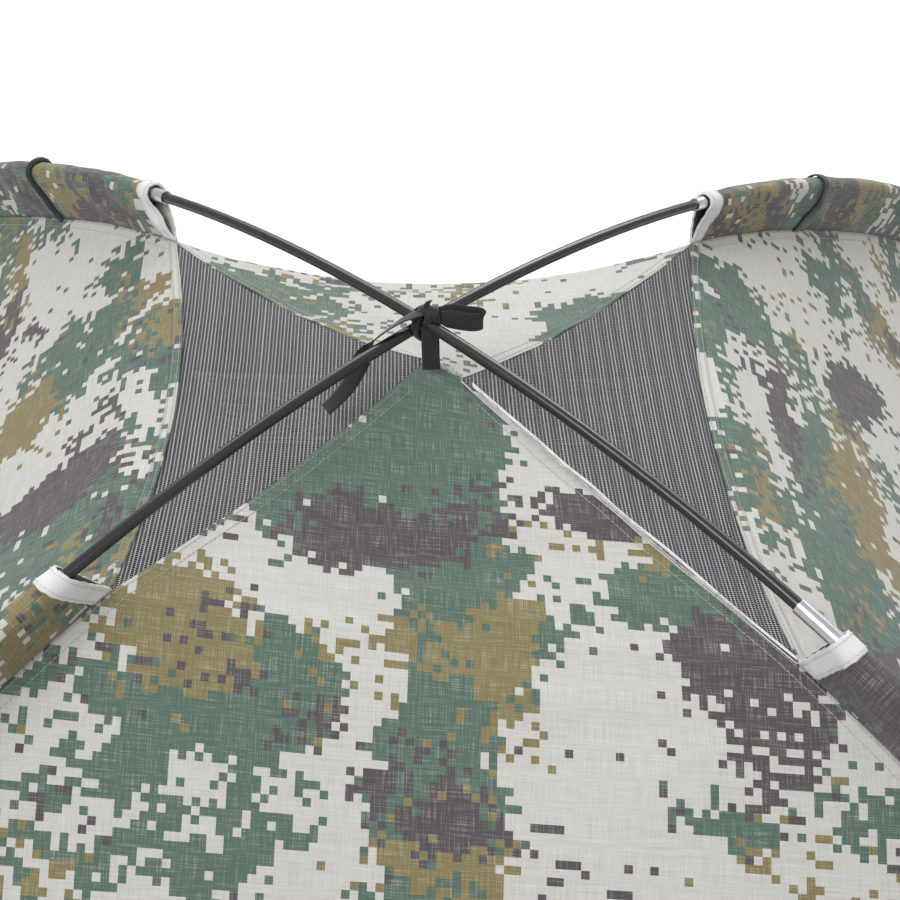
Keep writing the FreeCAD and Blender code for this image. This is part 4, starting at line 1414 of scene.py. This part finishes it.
def make_crown_tie(webbing):
    """A ribbon sewn to the apex of the cloth and tied in a half bow round the poles where they cross.

    Its points are in millimetres from its own place."""
    tab = flat_band("tie_tab", [(3.5, -6.5, 8.5), (4.0, -9.3, 2.5), (4.4, -9.6, -6.0), (4.6, -9.0, -15.0),
                                (4.9, -7.4, -23.0), (5.2, -6.6, -29.5)],
                    [(3.2, -0.5, 0), (4.4, -0.6, 0), (5.2, -0.4, 0.2), (5.5, -0.2, 0.6), (5.6, 0.2, 0.9),
                     (5.6, 0.3, -2.4)], webbing, 1)
    bow = flat_band("tie_bow", [(6.5, -5.5, 9.5), (12.0, -8.0, 9.2), (20.0, -9.4, 8.2), (28.0, -9.2, 6.8),
                                (33.2, -7.4, 6.0), (34.4, -5.4, 6.4), (32.4, -4.0, 7.6), (25.0, -4.9, 9.2),
                                (15.5, -4.8, 10.6), (7.5, -4.2, 11.0)],
                    [(0.2, 1.4, 2.6), (0.4, 1.6, 3.6), (0.7, 1.7, 4.2), (1.0, 1.9, 4.5), (0.8, 1.7, 4.6),
                     (0.2, 1.0, 4.8), (-0.2, 1.2, 4.5), (0.2, 1.5, 4.2), (0.2, 1.6, 3.6), (0.2, 1.4, 2.4)],
                    webbing, 2)
    tail = flat_band("tie_tail", [(2.0, -4.0, 10.0), (-4.5, -5.4, 9.2), (-12.0, -8.0, 6.8), (-21.0, -11.8, 2.2),
                                  (-28.5, -15.8, -2.6), (-33.2, -19.4, -8.0), (-37.0, -23.4, -15.5),
                                  (-42.5, -28.4, -24.5), (-49.0, -32.4, -31.2), (-56.0, -36.6, -36.4)],
                     [(0.4, 2.2, 0.6), (0.8, 3.4, -0.4), (1.2, 4.0, -0.8), (1.8, 4.2, -0.8), (2.6, 3.8, 0.2),
                      (3.6, 2.4, 1.2), (4.2, 0.2, 1.8), (4.4, -1.4, 1.8), (4.3, -1.8, 1.6), (4.2, -1.8, 1.6)],
                     webbing, 1)
    wraps = []
    for shift, lean in ((-2.0, 0.5), (2.4, -0.8), (0.2, 1.6)):
        ring, half = [], []
        for step in range(29):
            turn = 2 * math.pi * step / 28
            swell = 1 + 0.10 * math.sin(turn * 3 + shift)
            across = 5.2 + shift + lean * math.sin(turn)
            behind = -5.2 + 4.4 * swell * math.cos(turn)
            above = 8.6 + 4.6 * swell * math.sin(turn)
            ring.append(TIE_PLACE + Vector((across, behind, above)) * 0.001)
            half.append(Vector((2.3, 0.5 * math.cos(turn), 0.4)) * 0.001)
        wraps.append(ribbon_mesh(ring, half, 0.0013, 4))
    for lean in (-1, 1):
        ring, half = [], []
        for step in range(37):
            turn = 2 * math.pi * step / 36
            ring.append(TIE_PLACE + Vector((lean * 6.2 * math.cos(turn) + 1.5, 6.2 * math.cos(turn) - 1.0,
                                           11.3 * math.sin(turn))) * 0.001)
            half.append(Vector((lean * -2.6, 2.6, 0)) * 0.001 * ROOT_HALF)
        wraps.append(ribbon_mesh(ring, half, 0.0010, 4))
    wraps.append(ribbon_mesh(smooth_path([TIE_PLACE + Vector(p) * 0.001 for p in
                                          ((3.0, -4.6, 12.0), (2.2, -4.2, 15.0), (3.6, -3.4, 17.6))], 5),
                             [Vector((1.8, 0.6, 0.2)) * 0.001] * 11, 0.0009, 3))
    points, faces = joined(wraps)
    knot = new_piece("tie_knot", points, faces, webbing)
    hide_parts("crown_tie")


# ------------------------------------------------------------------ groundsheet and corners

# The level that the groundsheet's floor is drawn at, before its thickness and its ripples lift it.
SHEET_LEVEL = 0.0006
SHEET_THICKNESS = 0.0006


def make_groundsheet(sheet_cloth, tape, thread):
    """A floor with turned-up sides, and the binding over the seam where they meet the walls."""
    low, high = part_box("groundsheet")
    floor_half = (high.x - low.x) / 2
    rim_half = -wall_point("front", WALL_END, 0.0).y - 0.0004
    height = high.z
    points, uvs = [], []
    count = 96
    rings = [(SHEET_LEVEL, floor_half * share) for share in (0.02, 0.25, 0.5, 0.75, 0.9, 0.97, 1.0)]
    rings.append((0.004, floor_half + 0.0004))
    rings += [(level, blend(floor_half, rim_half, level / height)) for level in (0.05, 0.08)]
    rings.append((height, rim_half))
    for level, half in rings:
        for side_index in range(4):
            for step in range(count // 4):
                along = -1 + 2 * step / (count // 4)
                quarter_turn = Matrix.Rotation(side_index * math.pi / 2, 3, "Z")
                place = quarter_turn @ Vector((along * half, -half, level))
                ripple = noise.noise(place * 5.0) * 0.0016
                if 0.02 < level < height - 0.01:
                    inward = Vector((place.x, place.y, 0)).normalized()
                    place -= inward * (0.002 + abs(ripple) * 1.6) * (1 - along * along)
                elif level < 0.001:
                    place.z += SHEET_THICKNESS + abs(ripple) * 0.6 * (1 - (half / floor_half) ** 8)
                points.append(place)
                uvs.append((place.x, place.y))
    faces = grid_faces(len(rings), count, True)
    faces.append(tuple(reversed(range(count))))
    piece = new_piece("groundsheet_cloth", points, faces, sheet_cloth, "blind", uvs)
    if sum(f.normal.z * f.area for f in piece.data.polygons) < 0:
        piece.data.flip_normals()
    thicken(piece, SHEET_THICKNESS)
    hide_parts("groundsheet")

    parts, stitch_list = [], []
    for side_name in SIDES:
        path, half, normals = [], [], []
        for step in range(121):
            across = -1 + 2 * step / 120
            row = wall_row(side_name, WALL_END)
            point = wall_point(side_name, WALL_END, across, 0.0008, row)
            lift = 0.0001 * noise.noise(Vector((across * 40, 1.0, 2.0)))
            path.append(point + row[2] * lift)
            down = row[2].cross(row[1] - row[0]).normalized()
            half.append(down * 0.008)
            normals.append(row[2])
        parts.append(ribbon_mesh(path, half, 0.0011, 4))
        for offset in (-0.006, 0.006):
            lifted = [p + h.normalized() * offset + n.normalized() * 0.0005
                      for p, h, n in zip(path, half, normals)]
            stitch_list += stitch_parts(lifted, normals)
    points, faces = joined(parts)
    binding = new_piece("floor_binding", points, faces, tape)
    points, faces = joined(stitch_list)
    stitches = new_piece("floor_binding_stitches", points, faces, thread)


def make_corner_tab(corner, webbing, thread):
    """Webbing sewn to the groundsheet's corner, with bar tacks beside the two eyelets."""
    low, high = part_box("corner_tab_" + corner)
    way = CORNERS[corner]["way"].normalized()
    across = UP.cross(way)
    inner = 1.381
    outer = Vector((max(abs(low.x), abs(high.x)), max(abs(low.y), abs(high.y)), 0)).length * 0.9905
    level = (low.z + high.z) / 2
    path = [way * blend(inner, outer, step / 24) + UP * level for step in range(25)]
    half = [across * 0.0125] * 25
    points, faces = ribbon_mesh(path, half, high.z - low.z, 8)
    tab = new_piece("corner_webbing_" + corner, points, faces, webbing)
    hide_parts("corner_tab_" + corner)
    parts = []
    for reach in (inner + 0.004, inner + 0.010):
        row = [way * reach + across * blend(-0.011, 0.011, step / 22) + UP * (high.z - 0.0001)
               for step in range(23)]
        parts += stitch_parts(row, [UP] * 23, 0.0018, 0.0013, 0.0003)
    points, faces = joined(parts)
    tacks = new_piece("corner_stitches_" + corner, points, faces, thread)


def repaint(node, material):
    """Give one of the frame's own pieces a better finish."""
    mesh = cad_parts[node].data
    mesh.materials.clear()
    mesh.materials.append(material)


def finish_poles(rod, ferrule_metal, cap, cord_material):
    """The pole pieces keep the frame's shapes and take better finishes."""
    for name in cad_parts:
        if "_rod_" in name:
            repaint(name, rod)
        elif name.endswith("_ferrules"):
            repaint(name, ferrule_metal)
        elif name.endswith("_end_caps"):
            repaint(name, cap)
        elif name.endswith("_shock_cord"):
            repaint(name, cord_material)


# ------------------------------------------------------------------ the whole scene

make_camera()
make_floor()
make_light()

cloths = {
    "front": camo_material("camo_front", 0.31, (
        ("all", 0.0, 0.12, 0.26, 0.16, -0.050), ("green", 0.005, 0.05, 0.034, 0.11, 0.30),
        ("green", -0.004, 0.21, 0.032, 0.11, 0.28), ("green", -0.070, 0.080, 0.055, 0.026, 0.22),
        ("dark", -0.062, 0.118, 0.058, 0.030, 0.32), ("khaki", -0.145, 0.190, 0.034, 0.035, 0.23),
        ("green", -0.090, 0.220, 0.040, 0.026, 0.24), ("khaki", 0.030, 0.178, 0.018, 0.036, 0.22),
        ("dark", 0.088, 0.094, 0.024, 0.014, 0.30), ("dark", 0.150, 0.180, 0.058, 0.048, 0.33),
        ("khaki", 0.105, 0.108, 0.040, 0.022, 0.17), ("green", 0.120, 0.140, 0.050, 0.026, 0.17),
        ("dark", 0.0, 0.150, 0.02, 0.04, 0.12))),
    "left": camo_material("camo_left", 2.71, (
        ("all", -0.02, 0.30, 0.26, 0.13, -0.05), ("green", -0.04, 0.215, 0.15, 0.030, 0.21),
        ("dark", 0.045, 0.250, 0.028, 0.070, 0.32), ("khaki", -0.055, 0.275, 0.030, 0.030, 0.20),
        ("green", 0.090, 0.300, 0.035, 0.060, 0.18), ("khaki", 0.10, 0.225, 0.030, 0.030, 0.16))),
    "right": camo_material("camo_right", 5.13, (
        ("all", 0.10, 0.30, 0.16, 0.10, -0.05), ("green", 0.150, 0.220, 0.040, 0.034, 0.24),
        ("green", 0.015, 0.245, 0.070, 0.028, 0.22), ("khaki", 0.02, 0.285, 0.080, 0.026, 0.22),
        ("dark", 0.145, 0.330, 0.030, 0.024, 0.28), ("khaki", -0.080, 0.235, 0.040, 0.024, 0.16),
        ("green", -0.120, 0.270, 0.040, 0.040, 0.18), ("dark", 0.05, 0.22, 0.030, 0.014, 0.24))),
    "back": camo_material("camo_back", 7.77, (
        ("all", -0.01, 0.08, 0.12, 0.08, -0.08), ("khaki", 0.085, 0.060, 0.045, 0.030, 0.19),
        ("green", 0.110, 0.120, 0.060, 0.040, 0.20), ("green", -0.115, 0.085, 0.040, 0.045, 0.30),
        ("dark", 0.02, 0.20, 0.060, 0.020, 0.14))),
}
sleeve_cloths = {
    corner: camo_material("camo_sleeve_" + corner, seed, (("all", 0.0, 0.45, 12.0, 0.7, 0.105),))
    for corner, seed in (("front_left", 9.2), ("front_right", 4.4), ("back_right", 6.1), ("back_left", 1.9))
}
net = thread_material("netting", srgb(188, 189, 192))
white_tape = woven_material("white_tape", srgb(206, 206, 205), 1100, 0.16, 0.8, 0.5)
fray = woven_material("frayed_cloth", srgb(182, 181, 178), 1800, 0.5, 0.9, 0.8)
webbing = woven_material("black_webbing", srgb(21, 20, 20), 1500, 0.6, 0.75, 1.0)
rubber = woven_material("elastic_cord", srgb(30, 30, 32), 1200, 0.5, 0.7, 0.9)
zip_cloth = woven_material("zip_tape", srgb(30, 31, 32), 1600, 0.4, 0.75, 0.7)
grip = woven_material("grip_strip", srgb(34, 34, 35), 2200, 0.7, 0.85, 1.0)
sheet_cloth = floor_cloth_material()
seam_thread = thread_material("seam_thread", srgb(176, 176, 168))
pale_thread = thread_material("pale_thread", srgb(205, 204, 198))
black_thread = thread_material("black_thread", srgb(40, 40, 42))
zip_coil = thread_material("zip_coil", srgb(36, 37, 38))
rod = rod_material()
bright = metal_material("bright_metal", (0.78, 0.78, 0.80, 1), (0.55, 0.56, 0.58, 1), 0.22)
brass = metal_material("eyelet_brass", (0.80, 0.62, 0.30, 1), (0.52, 0.38, 0.18, 1), 0.28)
zip_metal = metal_material("zip_metal", (0.50, 0.50, 0.52, 1), (0.26, 0.26, 0.27, 1), 0.34)

# The walls' inner face is painted shade: a dark grey that stands for the dim inside of the blind.
painted_inner_shade = woven_material("painted_shade_inner_face", srgb(46, 47, 46), 900, 0.3, 0.6, 0.4)
make_walls(cloths, painted_inner_shade)
make_door(cloths, zip_cloth, zip_coil, black_thread)
make_window(cloths, net, grip, seam_thread)
for side in NET_BOW:
    make_roof_net(side, net)
    wall_hem("net_border_" + side, side, lambda a, s=side: border_length(s, a) - 0.0005, 0.0105, cloths[side],
             seam_thread)
for side in SIDES:
    make_hip_stitches(side, seam_thread)
for corner in CORNERS:
    make_sleeve(corner, sleeve_cloths[corner], white_tape, pale_thread)
    make_elastic_loop(corner, rubber, corner.endswith("right"))
    make_corner_tab(corner, webbing, black_thread)
    repaint("peg_eyelet_" + corner, brass)
repaint("pole_eyelets", brass)
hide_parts("elastic_loops")
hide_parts("sleeve_mouth_hems")
make_crown_tape(white_tape, fray)
make_crown_tie(webbing)
make_groundsheet(sheet_cloth, webbing, black_thread)
finish_poles(rod, bright, webbing, rubber)
repaint("zip_slider", zip_metal)
repaint("zip_pull", zip_metal)
